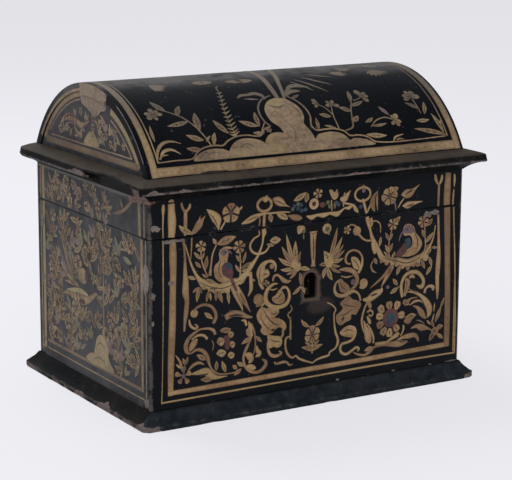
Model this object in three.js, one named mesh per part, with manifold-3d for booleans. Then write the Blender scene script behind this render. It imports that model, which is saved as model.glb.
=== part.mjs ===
// A small domed casket: a dovetailed wooden box and lid under black lacquer, with iron hinges
// and a box lock. Units are millimetres. +Z is up, the front faces -Y, and the origin is on the
// floor under the middle of the base.
import * as THREE from 'three';
import { mergeVertices } from 'three/addons/utils/BufferGeometryUtils.js';
import Module from 'manifold-3d';

const wasm = await Module();
wasm.setup();

// Box
const bodyWidth = 220;
const bodyDepth = 152;
const wallThickness = 9;
const bottomThickness = 8;
const rimHeight = 110.5;
const arrisRadius = 1.8;
const glueLine = 0.05;
const cutMargin = 1;

// Dovetails
const lapThickness = 3;
const tailSpread = 1.1;
const tailShare = 0.62;
const tailRoot = 1;
const boxTails = 5;
const lidTails = 1;

// Base moulding
const baseHeight = 10;
const baseProjection = 8;
const baseEdgeHeight = 3.2;
const baseSag = 0.9;
const baseTopWidth = 0.65;
const baseCornerRadius = 5;

// Lid frame and cornice
const rimGap = 0.5;
const railHeight = 22;
const corniceHeight = 12.5;
const corniceProjection = 11.5;
const corniceLipHeight = 5.4;
const corniceLipThickness = 1.1;
const corniceEdgeHeight = 3.4;
const corniceEdgeInset = 1.2;
const corniceQuirk = 0.5;
const corniceQuirkHeight = 0.2;
const corniceArris = 0.4;
const corniceHollow = 1.2;
const corniceCrown = 0.35;
const corniceCornerRadius = 3;

// Dome
const domeInset = 0.5;
const domeRise = 46;
const staveCount = 7;
const staveThickness = 5.5;
const facetsPerStave = 4;
const endPanelThickness = 8;
const endPanelRecess = 1;
const seatOverrun = 0.1;

// Hinges
const hingeSpacing = 124;
const hingeWidth = 16;
const hingeLeafThickness = 1.2;
const hingeLeafGap = 0.1;
const hingeAxisOut = 3;
const knuckleRadius = 2.6;
const knuckleGap = 0.25;
const middleKnuckle = 6;
const hingePinRadius = 1.2;
const hingePinClearance = 0.1;
const hingePinHead = 0.7;
const hingePinHeadRatio = 1.5;
const lowerStrapLength = 32;
const upperStrapLength = 19;
const strapTipRadius = 5;
const lowerNailDrop = 11;
const upperNailRise = 6;

// Nails
const nailRadius = 0.8;
const nailClearance = 0.1;
const nailLength = 6;
const nailHeadRadius = 1.9;
const nailHeadHeight = 0.9;
const nailPoint = 1.2;

// Keyhole and key pin
const lockOffset = -1.5;
const keyAxisBelowRim = 42.3;
const keyholeBelowAxis = 4.2;
const keyholeHeight = 16;
const keyholeWidth = 9.6;
const keyholeFootWidth = 9;
const keyholeFootRadius = 1.6;
const keyPinRadius = 1.5;
const keyPinReach = 6;
const keyPinTip = 0.5;
const keyBitClearance = 0.6;
const keyBitThickness = 2.5;

// Lock
const lockPlateWidth = 60;
const lockPlateHeight = 56;
const lockPlateBelowRim = 2.5;
const lockPlateThickness = 1.2;
const lockPlateChamfer = 4;
const lockCaseWidth = 46;
const lockCaseHeight = 51;
const lockCaseBelowRim = 4.5;
const lockCaseDepth = 13.2;
const lockCaseWall = 1.4;
const lockEarLength = 6;
const lockEarHeight = 8;
const lockEarAboveBottom = 17;
const lockNailInset = 4;

// Lock bolt, its staple and what guides it
const boltTravel = 6.5;
const boltThickness = 3.4;
const boltBarHeight = 5;
const boltTopBelowRim = 10.5;
const boltTailWidth = 6;
const boltHeadGap = 1.5;
const boltHeadLength = 21;
const boltTalonDepth = 3;
const boltFootHeight = 6.5;
const boltFootBeyondAxis = 13;
const slideClearance = 0.3;
const guideThickness = 1.2;
const guideWidth = 3.5;
const guideFromHead = 2;
const stapleOffset = 8;
const stapleWidth = 3;
const stapleBar = 2;
const stapleEyeDepth = 4;
const stapleSetback = 2;
const stapleSlotClearance = 1;
const staplePlateWidth = 18;
const staplePlateThickness = 1.4;
const staplePlateHeight = 17;
const staplePlateNailRise = 11;
const staplePlateNailAside = 6;
const stapleShelfMargin = 1;
const springThickness = 0.7;
const springWidth = 3;
const springSpan = 14;
const springRise = 3.2;
const springBow = 0.6;
const springFoot = 2.4;
const springReach = 4;
const wardRadius = 6.3;
const wardThickness = 0.8;
const wardDepth = 3;
const wardOpening = Math.PI / 2;

// Levels and faces that several pieces share
const wallBase = bottomThickness + glueLine;
const wallHeight = rimHeight - wallBase;
const lidBase = rimHeight + rimGap;
const corniceBase = lidBase + railHeight + glueLine;
const domeBase = corniceBase + corniceHeight + glueLine;
const innerFront = -bodyDepth / 2 + wallThickness;
const hingeAxisHeight = rimHeight + rimGap / 2;
const keyAxisHeight = rimHeight - keyAxisBelowRim;
const domeHalfSpan = bodyDepth / 2 - domeInset;
const domeRadius = (domeHalfSpan ** 2 + domeRise ** 2) / (2 * domeRise);
const domeCentreDrop = domeRadius - domeRise;
const domeHalfAngle = Math.atan2(domeHalfSpan, domeCentreDrop);

// Materials
const material = (colour, roughness, metalness = 0) =>
  new THREE.MeshStandardMaterial({ color: colour, roughness, metalness });
const lacquer = material(0x14171b, 0.35);
const bareWood = material(0x7a5a3a, 0.8);
const iron = material(0x4a4642, 0.55, 0.9);

// Turning geometries into solids and back
function solidOf(geometry) {
  const bare = geometry.clone();
  bare.deleteAttribute('normal');
  bare.deleteAttribute('uv');
  const merged = mergeVertices(bare, 1e-4);
  const numbers = { numProp: 3, vertProperties: merged.attributes.position.array };
  return new wasm.Manifold(new wasm.Mesh({ ...numbers, triVerts: new Uint32Array(merged.index.array) }));
}

function geometryOf(solid) {
  const mesh = solid.getMesh();
  const geometry = new THREE.BufferGeometry();
  geometry.setAttribute('position', new THREE.BufferAttribute(mesh.vertProperties, 3));
  geometry.setIndex(new THREE.BufferAttribute(mesh.triVerts, 1));
  geometry.computeVertexNormals();
  return geometry;
}

// Solids from low corner to high corner, and prisms along each axis
function block([x0, y0, z0], [x1, y1, z1]) {
  const box = new THREE.BoxGeometry(x1 - x0, y1 - y0, z1 - z0);
  return solidOf(box.translate((x0 + x1) / 2, (y0 + y1) / 2, (z0 + z1) / 2));
}

function outlineOf(points) {
  return new THREE.Shape(points.map(([a, b]) => new THREE.Vector2(a, b)));
}

const prismBasis = {
  // an outline in (y, z) grows along +X
  x: [[0, 1, 0], [0, 0, 1], [1, 0, 0]],
  // an outline in (x, z) grows along -Y
  y: [[1, 0, 0], [0, 0, 1], [0, -1, 0]],
  // an outline in (x, y) grows along +Z
  z: [[1, 0, 0], [0, 1, 0], [0, 0, 1]],
};

function prismGeometry(shape, axis, length, curveSegments = 6) {
  const basis = prismBasis[axis].map((v) => new THREE.Vector3(...v));
  const grown = new THREE.ExtrudeGeometry(shape, { depth: length, bevelEnabled: false, curveSegments });
  return grown.applyMatrix4(new THREE.Matrix4().makeBasis(...basis));
}

function prism(shape, axis, length, curveSegments) {
  return solidOf(prismGeometry(shape, axis, length, curveSegments));
}

function rod(radius, length, sides = 16) {
  // lies along X, centred on the origin
  return solidOf(new THREE.CylinderGeometry(radius, radius, length, sides).rotateZ(Math.PI / 2));
}

function roundedRectangle(width, depth, radius) {
  const [a, b] = [width / 2, depth / 2];
  const shape = new THREE.Shape();
  shape.moveTo(-a + radius, -b);
  shape.lineTo(a - radius, -b);
  shape.absarc(a - radius, -b + radius, radius, -Math.PI / 2, 0);
  shape.lineTo(a, b - radius);
  shape.absarc(a - radius, b - radius, radius, 0, Math.PI / 2);
  shape.lineTo(-a + radius, b);
  shape.absarc(-a + radius, b - radius, radius, Math.PI / 2, Math.PI);
  shape.lineTo(-a, -b + radius);
  shape.absarc(-a + radius, -b + radius, radius, Math.PI, 1.5 * Math.PI);
  return shape;
}

// Assembly
const casket = new THREE.Group();
const lid = new THREE.Group();
const lock = new THREE.Group();
lid.position.z = lidBase;
lock.position.set(lockOffset, innerFront, 0);
casket.add(lid, lock);

function add(group, name, solid, finish, [x, y, z] = [0, 0, 0], turn = 0) {
  const mesh = new THREE.Mesh(geometryOf(solid), finish);
  mesh.name = name;
  mesh.position.set(x, y, z);
  mesh.rotation.z = turn;
  group.add(mesh);
}

// Nails: a domed head on a round shank, and the hole that a board or plate has for it
function nail() {
  const head = [0, 1 / 6, 1 / 3, 1 / 2].map((part) => {
    const angle = part * Math.PI;
    return [nailHeadRadius * Math.sin(angle), nailHeadHeight * Math.cos(angle)];
  });
  const shank = [[nailRadius, 0], [nailRadius, nailPoint - nailLength], [0, -nailLength]];
  const points = [...head, ...shank].map(([r, h]) => new THREE.Vector2(r, h)).reverse();
  return solidOf(new THREE.LatheGeometry(points, 10));
}

// The nail's head rises along +Y from its seat, and its shank points along -Y.
const nailShape = nail();
const nailHole = rod(nailRadius + nailClearance, 2 * nailLength, 10).rotate([0, 0, 90]);

// Dovetails: tails on the ends of the side boards, in sockets that stop short of the front and back faces
const tailLength = wallThickness - lapThickness;

function tails(height, count, grow) {
  const pitch = height / count;
  const narrow = pitch * tailShare / 2 + grow;
  const wide = narrow + tailSpread;
  const end = tailLength + grow;
  const one = outlineOf([
    [-tailRoot, -narrow], [0, -narrow], [end, -wide], [end, wide], [0, narrow], [-tailRoot, narrow],
  ]);
  const made = [];
  for (let i = 0; i < count; i += 1) {
    made.push(prism(one, 'x', wallThickness + grow).translate([0, 0, (i + 0.5) * pitch]));
  }
  return wasm.Manifold.union(made);
}

// A side board, from x 0 to its thickness, with tails at its front and back ends
function sideBoard(height, count) {
  const shoulder = bodyDepth / 2 - wallThickness - glueLine;
  const core = block([0, -shoulder, 0], [wallThickness, shoulder, height]);
  const front = tails(height, count, 0).mirror([0, 1, 0]).translate([0, -shoulder, 0]);
  const back = tails(height, count, 0).translate([0, shoulder, 0]);
  return wasm.Manifold.union([core, front, back]);
}

// A front or back board, its outer face on y 0, with rounded arrises and the sockets for the tails
function crossBoard(height, count) {
  const half = bodyWidth / 2;
  const plan = new THREE.Shape();
  plan.moveTo(-half, wallThickness);
  plan.lineTo(-half, arrisRadius);
  plan.absarc(-half + arrisRadius, arrisRadius, arrisRadius, Math.PI, 1.5 * Math.PI);
  plan.lineTo(half - arrisRadius, 0);
  plan.absarc(half - arrisRadius, arrisRadius, arrisRadius, 1.5 * Math.PI, 2 * Math.PI);
  plan.lineTo(half, wallThickness);
  const board = prism(plan, 'z', height, 5);
  const socket = tails(height, count, glueLine)
    .mirror([0, 1, 0])
    .translate([0, wallThickness + glueLine, 0]);
  const left = socket.translate([-half - glueLine, 0, 0]).add(socket.translate([-half, 0, 0]));
  const right = left.mirror([1, 0, 0]);
  return board.subtract(left).subtract(right);
}

// Mouldings: a strip for one side, its wall face on y 0 and its projection towards -Y, mitred at
// both ends
function mouldingStrip({ profile, height, projection, cornerRadius }, wallLength, otherLength) {
  const strip = prismGeometry(outlineOf(profile.map(([out, z]) => [-out, z])), 'x', 1);
  const position = strip.attributes.position;
  for (let i = 0; i < position.count; i += 1) {
    const side = position.getX(i) > 0.5 ? 1 : -1;
    position.setX(i, side * (wallLength / 2 - position.getY(i) - glueLine));
  }
  const plan = roundedRectangle(wallLength + 2 * projection, otherLength + 2 * projection, cornerRadius);
  const worn = prism(plan, 'z', height + 2 * cutMargin).translate([0, otherLength / 2, -cutMargin]);
  return solidOf(strip).intersect(worn);
}

function mouldingFrame(group, suffix, moulding, level) {
  const wide = mouldingStrip(moulding, bodyWidth, bodyDepth);
  const deep = mouldingStrip(moulding, bodyDepth, bodyWidth);
  add(group, `front_${suffix}`, wide, lacquer, [0, -bodyDepth / 2, level]);
  add(group, `back_${suffix}`, wide, lacquer, [0, bodyDepth / 2, level], Math.PI);
  add(group, `left_${suffix}`, deep, lacquer, [-bodyWidth / 2, 0, level], -Math.PI / 2);
  add(group, `right_${suffix}`, deep, lacquer, [bodyWidth / 2, 0, level], Math.PI / 2);
}

// A curve of the given sag between two points of a moulding's profile
function swept([x0, z0], [x1, z1], sag, steps = 5) {
  const middle = new THREE.Vector2((x0 + x1) / 2, (z0 + z1) / 2);
  const across = new THREE.Vector2(z1 - z0, x0 - x1).normalize().multiplyScalar(2 * sag);
  const ends = [new THREE.Vector2(x0, z0), new THREE.Vector2(x1, z1)];
  const curve = new THREE.QuadraticBezierCurve(ends[0], middle.add(across), ends[1]);
  return curve.getPoints(steps).map((p) => [p.x, p.y]);
}

function baseProfile() {
  const slope = swept([baseProjection, baseEdgeHeight], [baseTopWidth, baseHeight], -baseSag);
  return [[glueLine, 0], [baseProjection, 0], ...slope, [glueLine, baseHeight]];
}

function corniceProfile() {
  const lipTop = corniceLipHeight + corniceLipThickness;
  const quirk = corniceProjection - corniceQuirk;
  const edgeTop = lipTop + corniceEdgeHeight;
  const hollow = swept([0, 0], [corniceProjection - corniceArris, corniceLipHeight], -corniceHollow);
  const shoulder = [corniceProjection - corniceEdgeInset, edgeTop];
  const crown = swept(shoulder, [-domeInset, corniceHeight], corniceCrown, 3);
  return [
    [-wallThickness, 0], ...hollow,
    [corniceProjection, corniceLipHeight + corniceArris], [corniceProjection, lipTop],
    [quirk, lipTop + corniceQuirkHeight], ...crown, [-wallThickness, corniceHeight],
  ];
}

// Box: bottom board, four dovetailed walls and the base moulding around their foot
function keyholeOutline() {
  const [top, foot] = [keyholeWidth / 2, keyholeFootWidth / 2];
  const low = keyAxisHeight - keyholeBelowAxis;
  const high = low + keyholeHeight - top;
  const corner = keyholeFootRadius;
  const shape = new THREE.Shape();
  shape.moveTo(-foot + corner, low);
  shape.lineTo(foot - corner, low);
  shape.absarc(foot - corner, low + corner, corner, -Math.PI / 2, 0);
  shape.lineTo(top, high);
  shape.absarc(0, high, top, 0, Math.PI);
  shape.lineTo(-foot, low + corner);
  shape.absarc(-foot + corner, low + corner, corner, Math.PI, 1.5 * Math.PI);
  return shape;
}

// The keyhole's hollow through a plate whose far face is at the given place
function keyholeCut(thickness, farFace) {
  const hollow = prism(keyholeOutline(), 'y', thickness + 2 * cutMargin, 8);
  return hollow.translate([0, farFace + cutMargin, 0]);
}

const plateNailInset = lockNailInset + lockPlateChamfer / 2;
const lockPlateTop = rimHeight - lockPlateBelowRim;
const plateNails = [-1, 1].flatMap((side) => {
  const x = side * (lockPlateWidth / 2 - lockNailInset);
  return [[x, lockPlateTop - lockPlateHeight + plateNailInset], [x, lockPlateTop - plateNailInset]];
});
const lockCaseBottom = rimHeight - lockCaseBelowRim - lockCaseHeight;
const earHeight = lockCaseBottom + lockEarAboveBottom + lockEarHeight / 2;
const earNails = [-1, 1].map((side) => [side * (lockCaseWidth / 2 + lockEarLength / 2), earHeight]);
const lockNails = [...plateNails, ...earNails];
const hingePlaces = [-hingeSpacing / 2, hingeSpacing / 2];
const lowerNailDrops = [lowerNailDrop, lowerStrapLength - strapTipRadius];
const upperNailRises = [upperNailRise, upperStrapLength - strapTipRadius];

// Holes for nails that are driven along Y into a board whose inner face is at the given depth
function nailHoles(places, innerFace) {
  return wasm.Manifold.union(places.map(([x, z]) => nailHole.translate([x, innerFace, z])));
}

// The shallow seat in a board's edge that lets a hinge leaf lie flush
function hingeSeat(x, edge, depth) {
  const half = hingeWidth / 2 + nailClearance;
  return block([x - half, -cutMargin, edge - depth], [x + half, wallThickness + cutMargin, edge + depth]);
}

const leafSeatDepth = hingeLeafThickness + hingeLeafGap / 2 + glueLine - rimGap / 2;

function frontBoard() {
  const forLock = keyholeCut(wallThickness, wallThickness).add(nailHoles(lockNails, wallThickness));
  return crossBoard(wallHeight, boxTails).subtract(forLock.translate([lockOffset, 0, -wallBase]));
}

function backBoard() {
  const seats = hingePlaces.map((x) => hingeSeat(x, wallHeight, leafSeatDepth));
  const nailLevels = lowerNailDrops.map((drop) => hingeAxisHeight - drop - wallBase);
  const places = hingePlaces.flatMap((x) => nailLevels.map((level) => [x, level]));
  const cuts = wasm.Manifold.union([...seats, nailHoles(places, wallThickness)]);
  return crossBoard(wallHeight, boxTails).subtract(cuts);
}

const halfBoard = [bodyWidth / 2, bodyDepth / 2];
add(casket, 'bottom_board', block(
  [-halfBoard[0], -halfBoard[1], 0],
  [halfBoard[0], halfBoard[1], bottomThickness],
), bareWood);
add(casket, 'front_board', frontBoard(), lacquer, [0, -bodyDepth / 2, wallBase]);
add(casket, 'back_board', backBoard(), lacquer, [0, bodyDepth / 2, wallBase], Math.PI);
const boxSide = sideBoard(wallHeight, boxTails);
add(casket, 'left_board', boxSide, lacquer, [-bodyWidth / 2, 0, wallBase]);
add(casket, 'right_board', boxSide, lacquer, [bodyWidth / 2 - wallThickness, 0, wallBase]);
mouldingFrame(casket, 'base_moulding', {
  profile: baseProfile(),
  height: baseHeight,
  projection: baseProjection,
  cornerRadius: baseCornerRadius,
}, 0);

// Lid frame: four dovetailed rails, level 0 at their lower edge
const staplePlace = lockOffset + stapleOffset;
const staplePlateNails = [-staplePlateNailAside, staplePlateNailAside].map((aside) => [
  staplePlace + aside, staplePlateNailRise,
]);

function backRail() {
  const seats = hingePlaces.map((x) => hingeSeat(x, 0, leafSeatDepth));
  const nailLevels = upperNailRises.map((rise) => hingeAxisHeight + rise - lidBase);
  const places = hingePlaces.flatMap((x) => nailLevels.map((level) => [x, level]));
  const cuts = wasm.Manifold.union([...seats, nailHoles(places, wallThickness)]);
  return crossBoard(railHeight, lidTails).subtract(cuts);
}

const frontRail = crossBoard(railHeight, lidTails).subtract(nailHoles(staplePlateNails, wallThickness));
add(lid, 'lid_front_rail', frontRail, lacquer, [0, -bodyDepth / 2, 0]);
add(lid, 'lid_back_rail', backRail(), lacquer, [0, bodyDepth / 2, 0], Math.PI);
const lidSide = sideBoard(railHeight, lidTails);
add(lid, 'lid_left_rail', lidSide, lacquer, [-bodyWidth / 2, 0, 0]);
add(lid, 'lid_right_rail', lidSide, lacquer, [bodyWidth / 2 - wallThickness, 0, 0]);
mouldingFrame(lid, 'cornice', {
  profile: corniceProfile(),
  height: corniceHeight,
  projection: corniceProjection,
  cornerRadius: corniceCornerRadius,
}, corniceBase - lidBase);

// Dome: coopered staves over two end panels. Angles are measured from the crown, negative
// towards the front.
function onArc(radius, angle) {
  return [radius * Math.sin(angle), radius * Math.cos(angle) - domeCentreDrop];
}

function arcPoints(radius, from, to, steps) {
  return Array.from({ length: steps + 1 }, (_, i) => onArc(radius, from + (to - from) * i / steps));
}

const staveAngle = 2 * domeHalfAngle / staveCount;
const aboveSeat = block([-bodyWidth, -bodyDepth, 0], [bodyWidth, bodyDepth, 2 * domeRadius]);

function stave(index) {
  const from = -domeHalfAngle + index * staveAngle;
  const to = from + staveAngle;
  const trim = glueLine / 2 / domeRadius;
  const first = index === 0 ? from - seatOverrun : from + trim;
  const last = index === staveCount - 1 ? to + seatOverrun : to - trim;
  const outer = arcPoints(domeRadius, first, last, facetsPerStave);
  const inner = arcPoints(domeRadius - staveThickness, last, first, facetsPerStave);
  return prism(outlineOf([...outer, ...inner]), 'x', bodyWidth).intersect(aboveSeat);
}

function endPanel() {
  const radius = domeRadius - staveThickness - 2 * glueLine;
  const half = Math.acos(domeCentreDrop / radius);
  const arc = arcPoints(radius, half, -half, staveCount * facetsPerStave);
  return prism(outlineOf(arc), 'x', endPanelThickness);
}

const domeLevel = domeBase - lidBase;
for (let i = 0; i < staveCount; i += 1) {
  add(lid, `dome_stave_${i + 1}`, stave(i), lacquer, [-bodyWidth / 2, 0, domeLevel]);
}
const panel = endPanel();
const panelOutside = bodyWidth / 2 - endPanelRecess;
add(lid, 'left_end_panel', panel, lacquer, [-panelOutside, 0, domeLevel]);
add(lid, 'right_end_panel', panel, lacquer, [panelOutside - endPanelThickness, 0, domeLevel]);

// Hinges: L-shaped iron straps that run through the joint and down or up the inside, with their
// axis behind the back. The outline of a strap in (x, z), from its root at z 0 to a pointed tip.
function strapOutline(length) {
  const half = hingeWidth / 2;
  const shape = new THREE.Shape();
  shape.moveTo(-half, 0);
  shape.lineTo(half, 0);
  shape.lineTo(half, length - 2 * strapTipRadius);
  shape.quadraticCurveTo(half, length - strapTipRadius, strapTipRadius / 2, length - strapTipRadius / 2);
  shape.lineTo(0, length);
  shape.lineTo(-strapTipRadius / 2, length - strapTipRadius / 2);
  shape.quadraticCurveTo(-half, length - strapTipRadius, -half, length - 2 * strapTipRadius);
  return shape;
}

// A leaf that rises from the axis plane. Its fellow is the same leaf turned over, with the other
// knuckles.
function hingeLeaf(length, nailRises, hasMiddle) {
  const wallInside = -hingeAxisOut - wallThickness - glueLine;
  const low = hingeLeafGap / 2;
  const back = wallInside - hingeLeafThickness;
  const flat = block([-hingeWidth / 2, back, low], [hingeWidth / 2, 0, low + hingeLeafThickness]);
  const strap = prism(strapOutline(length), 'y', hingeLeafThickness, 4).translate([0, wallInside, low]);
  const barrel = rod(knuckleRadius, hingeWidth, 20);
  const room = knuckleRadius + knuckleGap;
  const roomAlong = (half) => block([-half, -room, -room], [half, room, room]);
  const middle = roomAlong(middleKnuckle / 2);
  const wideMiddle = roomAlong(middleKnuckle / 2 + knuckleGap);
  const ownKnuckles = hasMiddle ? barrel.intersect(middle) : barrel.subtract(wideMiddle);
  const notches = hasMiddle ? roomAlong(hingeWidth).subtract(middle) : wideMiddle;
  const bore = rod(hingePinRadius + hingePinClearance, 2 * hingeWidth, 16);
  const holes = nailHoles(nailRises.map((rise) => [0, rise]), wallInside);
  return flat.add(strap).subtract(notches).add(ownKnuckles).subtract(bore).subtract(holes);
}

function hingePin() {
  const half = hingeWidth / 2 + glueLine;
  const head = hingePinRadius * hingePinHeadRatio;
  const end = half + hingePinHead;
  const profile = [
    [0, -end], [hingePinRadius, -end], [head, -half], [hingePinRadius, -half],
    [hingePinRadius, half], [head, half], [hingePinRadius, end], [0, end],
  ];
  const points = profile.map(([r, h]) => new THREE.Vector2(r, h));
  return solidOf(new THREE.LatheGeometry(points, 16).rotateZ(Math.PI / 2));
}

const hingeAxisY = bodyDepth / 2 + hingeAxisOut;
const upperLeaf = hingeLeaf(upperStrapLength, upperNailRises, true);
const lowerLeaf = hingeLeaf(lowerStrapLength, lowerNailDrops, false).rotate([0, 180, 0]);
const pin = hingePin();
const strapFace = bodyDepth / 2 - wallThickness - glueLine - hingeLeafThickness - glueLine;
hingePlaces.forEach((x, i) => {
  const side = i ? 'right' : 'left';
  add(casket, `${side}_hinge_lower_leaf`, lowerLeaf, iron, [x, hingeAxisY, hingeAxisHeight]);
  add(lid, `${side}_hinge_upper_leaf`, upperLeaf, iron, [x, hingeAxisY, hingeAxisHeight - lidBase]);
  add(casket, `${side}_hinge_pin`, pin, iron, [x, hingeAxisY, hingeAxisHeight]);
  lowerNailDrops.forEach((drop, n) => {
    const place = [x, strapFace, hingeAxisHeight - drop];
    add(casket, `${side}_lower_leaf_nail_${n + 1}`, nailShape, iron, place, Math.PI);
  });
  upperNailRises.forEach((rise, n) => {
    const place = [x, strapFace, hingeAxisHeight + rise - lidBase];
    add(lid, `${side}_upper_leaf_nail_${n + 1}`, nailShape, iron, place, Math.PI);
  });
});

// Lock: a plate and case inside the front. In this group y 0 is the front board's inner face.
const plateFront = glueLine;
const plateBack = plateFront + lockPlateThickness;
const caseFront = plateBack + glueLine;
const lockCaseTop = rimHeight - lockCaseBelowRim;
const stapleFront = plateBack + stapleSetback;
const stapleDepth = stapleEyeDepth + 2 * stapleBar;
const boltFront = stapleFront + stapleBar + (stapleEyeDepth - boltThickness) / 2;
const boltTop = rimHeight - boltTopBelowRim;
const boltHeadEnd = stapleOffset - stapleWidth / 2 - boltHeadGap;

function lockPlate() {
  const [half, cut] = [lockPlateWidth / 2, lockPlateChamfer];
  const [low, high] = [lockPlateTop - lockPlateHeight, lockPlateTop];
  const outline = outlineOf([
    [-half + cut, low], [half - cut, low], [half, low + cut], [half, high - cut],
    [half - cut, high], [-half + cut, high], [-half, high - cut], [-half, low + cut],
  ]);
  const sheet = prism(outline, 'y', lockPlateThickness).translate([0, plateBack, 0]);
  const cuts = keyholeCut(lockPlateThickness, plateBack).add(nailHoles(lockNails, plateFront));
  return sheet.subtract(cuts);
}

// The case is a cap over the works, open to the plate, with an ear on each side and a slot for
// the staple.
function lockCase() {
  const half = lockCaseWidth / 2;
  const back = caseFront + lockCaseDepth;
  const shell = block([-half, caseFront, lockCaseBottom], [half, back, lockCaseTop]);
  const inside = block(
    [-half + lockCaseWall, caseFront - cutMargin, lockCaseBottom + lockCaseWall],
    [half - lockCaseWall, back - lockCaseWall, lockCaseTop - lockCaseWall],
  );
  const slotHalf = stapleWidth / 2 + stapleSlotClearance;
  const slot = block(
    [stapleOffset - slotHalf, caseFront - cutMargin, lockCaseTop - lockCaseWall - cutMargin],
    [stapleOffset + slotHalf, back - lockCaseWall, lockCaseTop + cutMargin],
  );
  const earLow = lockCaseBottom + lockEarAboveBottom;
  const ears = block(
    [-half - lockEarLength, caseFront, earLow],
    [half + lockEarLength, caseFront + lockCaseWall, earLow + lockEarHeight],
  );
  return shell.add(ears).subtract(inside).subtract(slot).subtract(nailHoles(earNails, caseFront));
}

const caseInside = caseFront + lockCaseDepth - lockCaseWall;

function keyPin() {
  // from the case's back wall, through the works, into the thickness of the front board
  const length = caseInside - glueLine + wallThickness - keyPinReach;
  const tip = [[keyPinRadius, length - keyPinTip], [keyPinRadius - keyPinTip, length], [0, length]];
  const profile = [[0, 0], [keyPinRadius, 0], ...tip];
  const points = profile.map(([r, h]) => new THREE.Vector2(r, h));
  return solidOf(new THREE.LatheGeometry(points, 14).rotateX(Math.PI));
}

function ward() {
  // a ring round the key pin, open at the top where the key's bit enters
  const [inner, outer] = [wardRadius - wardThickness, wardRadius];
  const [from, to] = [Math.PI / 2 + wardOpening / 2, 2.5 * Math.PI - wardOpening / 2];
  const ring = new THREE.Shape();
  ring.absarc(0, 0, outer, from, to);
  ring.absarc(0, 0, inner, to, from, true);
  return prism(ring, 'y', wardDepth, 20);
}

// The bolt: a head bar under the rim, a tail down to the foot bar, and in that the notch that the
// key's bit works in
const keyBitReach = keyholeHeight - keyholeBelowAxis - keyBitClearance;
const boltFootBottom = keyAxisHeight + keyBitReach - boltTalonDepth;
const boltFootTop = boltFootBottom + boltFootHeight;
const boltLeft = boltHeadEnd - boltHeadLength;
const bitReachAside = Math.sqrt(keyBitReach ** 2 - (boltFootBottom - keyAxisHeight) ** 2);
const notchWidth = 2 * bitReachAside + keyBitThickness - boltTravel;

function bolt() {
  const notchMiddle = -boltTravel / 2;
  const [notchLeft, notchRight] = [notchMiddle - notchWidth / 2, notchMiddle + notchWidth / 2];
  const notchTop = boltFootBottom + boltTalonDepth + slideClearance;
  const outline = outlineOf([
    [boltLeft, boltTop], [boltLeft, boltFootBottom], [notchLeft, boltFootBottom], [notchLeft, notchTop],
    [notchRight, notchTop], [notchRight, boltFootBottom], [boltFootBeyondAxis, boltFootBottom],
    [boltFootBeyondAxis, boltFootTop], [boltLeft + boltTailWidth, boltFootTop],
    [boltLeft + boltTailWidth, boltTop - boltBarHeight], [boltHeadEnd, boltTop - boltBarHeight],
    [boltHeadEnd, boltTop],
  ].reverse());
  return prism(outline, 'y', boltThickness).translate([0, boltFront + boltThickness, 0]);
}

// A guide is a strap from the lock plate round the back of one of the bolt's bars.
function boltGuide(low, high) {
  const gap = slideClearance;
  const back = boltFront + boltThickness + gap;
  const outer = block(
    [0, caseFront, low - gap - guideThickness],
    [guideWidth, back + guideThickness, high + gap + guideThickness],
  );
  const inner = block(
    [-cutMargin, caseFront - cutMargin, low - gap],
    [guideWidth + cutMargin, back, high + gap],
  );
  return outer.subtract(inner);
}

function spring() {
  // a bowed leaf that bears on the head bar, on a foot that is riveted to the plate
  const lower = swept([-springSpan, springRise], [0, 0], springBow, 8);
  const upper = lower.map(([x, z]) => [x, z + springThickness]).reverse();
  const blade = prism(outlineOf([...lower, ...upper]), 'y', springWidth);
  const foot = block(
    [-springSpan - springFoot, caseFront - boltFront - springWidth, springRise - springThickness],
    [-springSpan + springThickness, 0, springRise + springThickness],
  );
  return blade.add(foot);
}

const boltHeadBottom = boltTop - boltBarHeight;
const upperGuidePlace = [boltHeadEnd - guideWidth - guideFromHead, 0, 0];
const lowerGuidePlace = [boltFootBeyondAxis - guideWidth, 0, 0];
const springPlace = [-springReach, boltFront + springWidth, boltTop + slideClearance];
add(lock, 'lock_plate', lockPlate(), iron);
add(lock, 'lock_case', lockCase(), iron);
add(lock, 'key_pin', keyPin(), iron, [0, caseInside - glueLine, keyAxisHeight]);
add(lock, 'lock_ward', ward(), iron, [0, caseFront + wardDepth, keyAxisHeight]);
add(lock, 'lock_bolt', bolt(), iron);
add(lock, 'bolt_guide_upper', boltGuide(boltHeadBottom, boltTop), iron, upperGuidePlace);
add(lock, 'bolt_guide_lower', boltGuide(boltFootBottom, boltFootTop), iron, lowerGuidePlace);
add(lock, 'bolt_spring', spring(), iron, springPlace);
plateNails.forEach(([x, z], i) => {
  add(lock, `lock_plate_nail_${i + 1}`, nailShape, iron, [x, plateBack + glueLine, z]);
});
earNails.forEach(([x, z], i) => {
  add(lock, `lock_case_nail_${i + 1}`, nailShape, iron, [x, caseFront + lockCaseWall + glueLine, z]);
});

// Staple: a looped bar under an angle plate on the lid's front rail. It drops into the lock
// through the slot in the case.
function staplePlate() {
  const half = staplePlateWidth / 2;
  const low = glueLine + rimGap / 2;
  const back = stapleFront + stapleDepth + stapleShelfMargin;
  const inner = glueLine + staplePlateThickness;
  const upright = block([-half, glueLine, low], [half, inner, low + staplePlateHeight]);
  const shelf = block([-half / 2, glueLine, low], [half / 2, back, low + staplePlateThickness]);
  const holes = nailHoles(staplePlateNails.map(([x, z]) => [x - staplePlace, z]), glueLine);
  return upright.add(shelf).subtract(holes);
}

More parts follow.
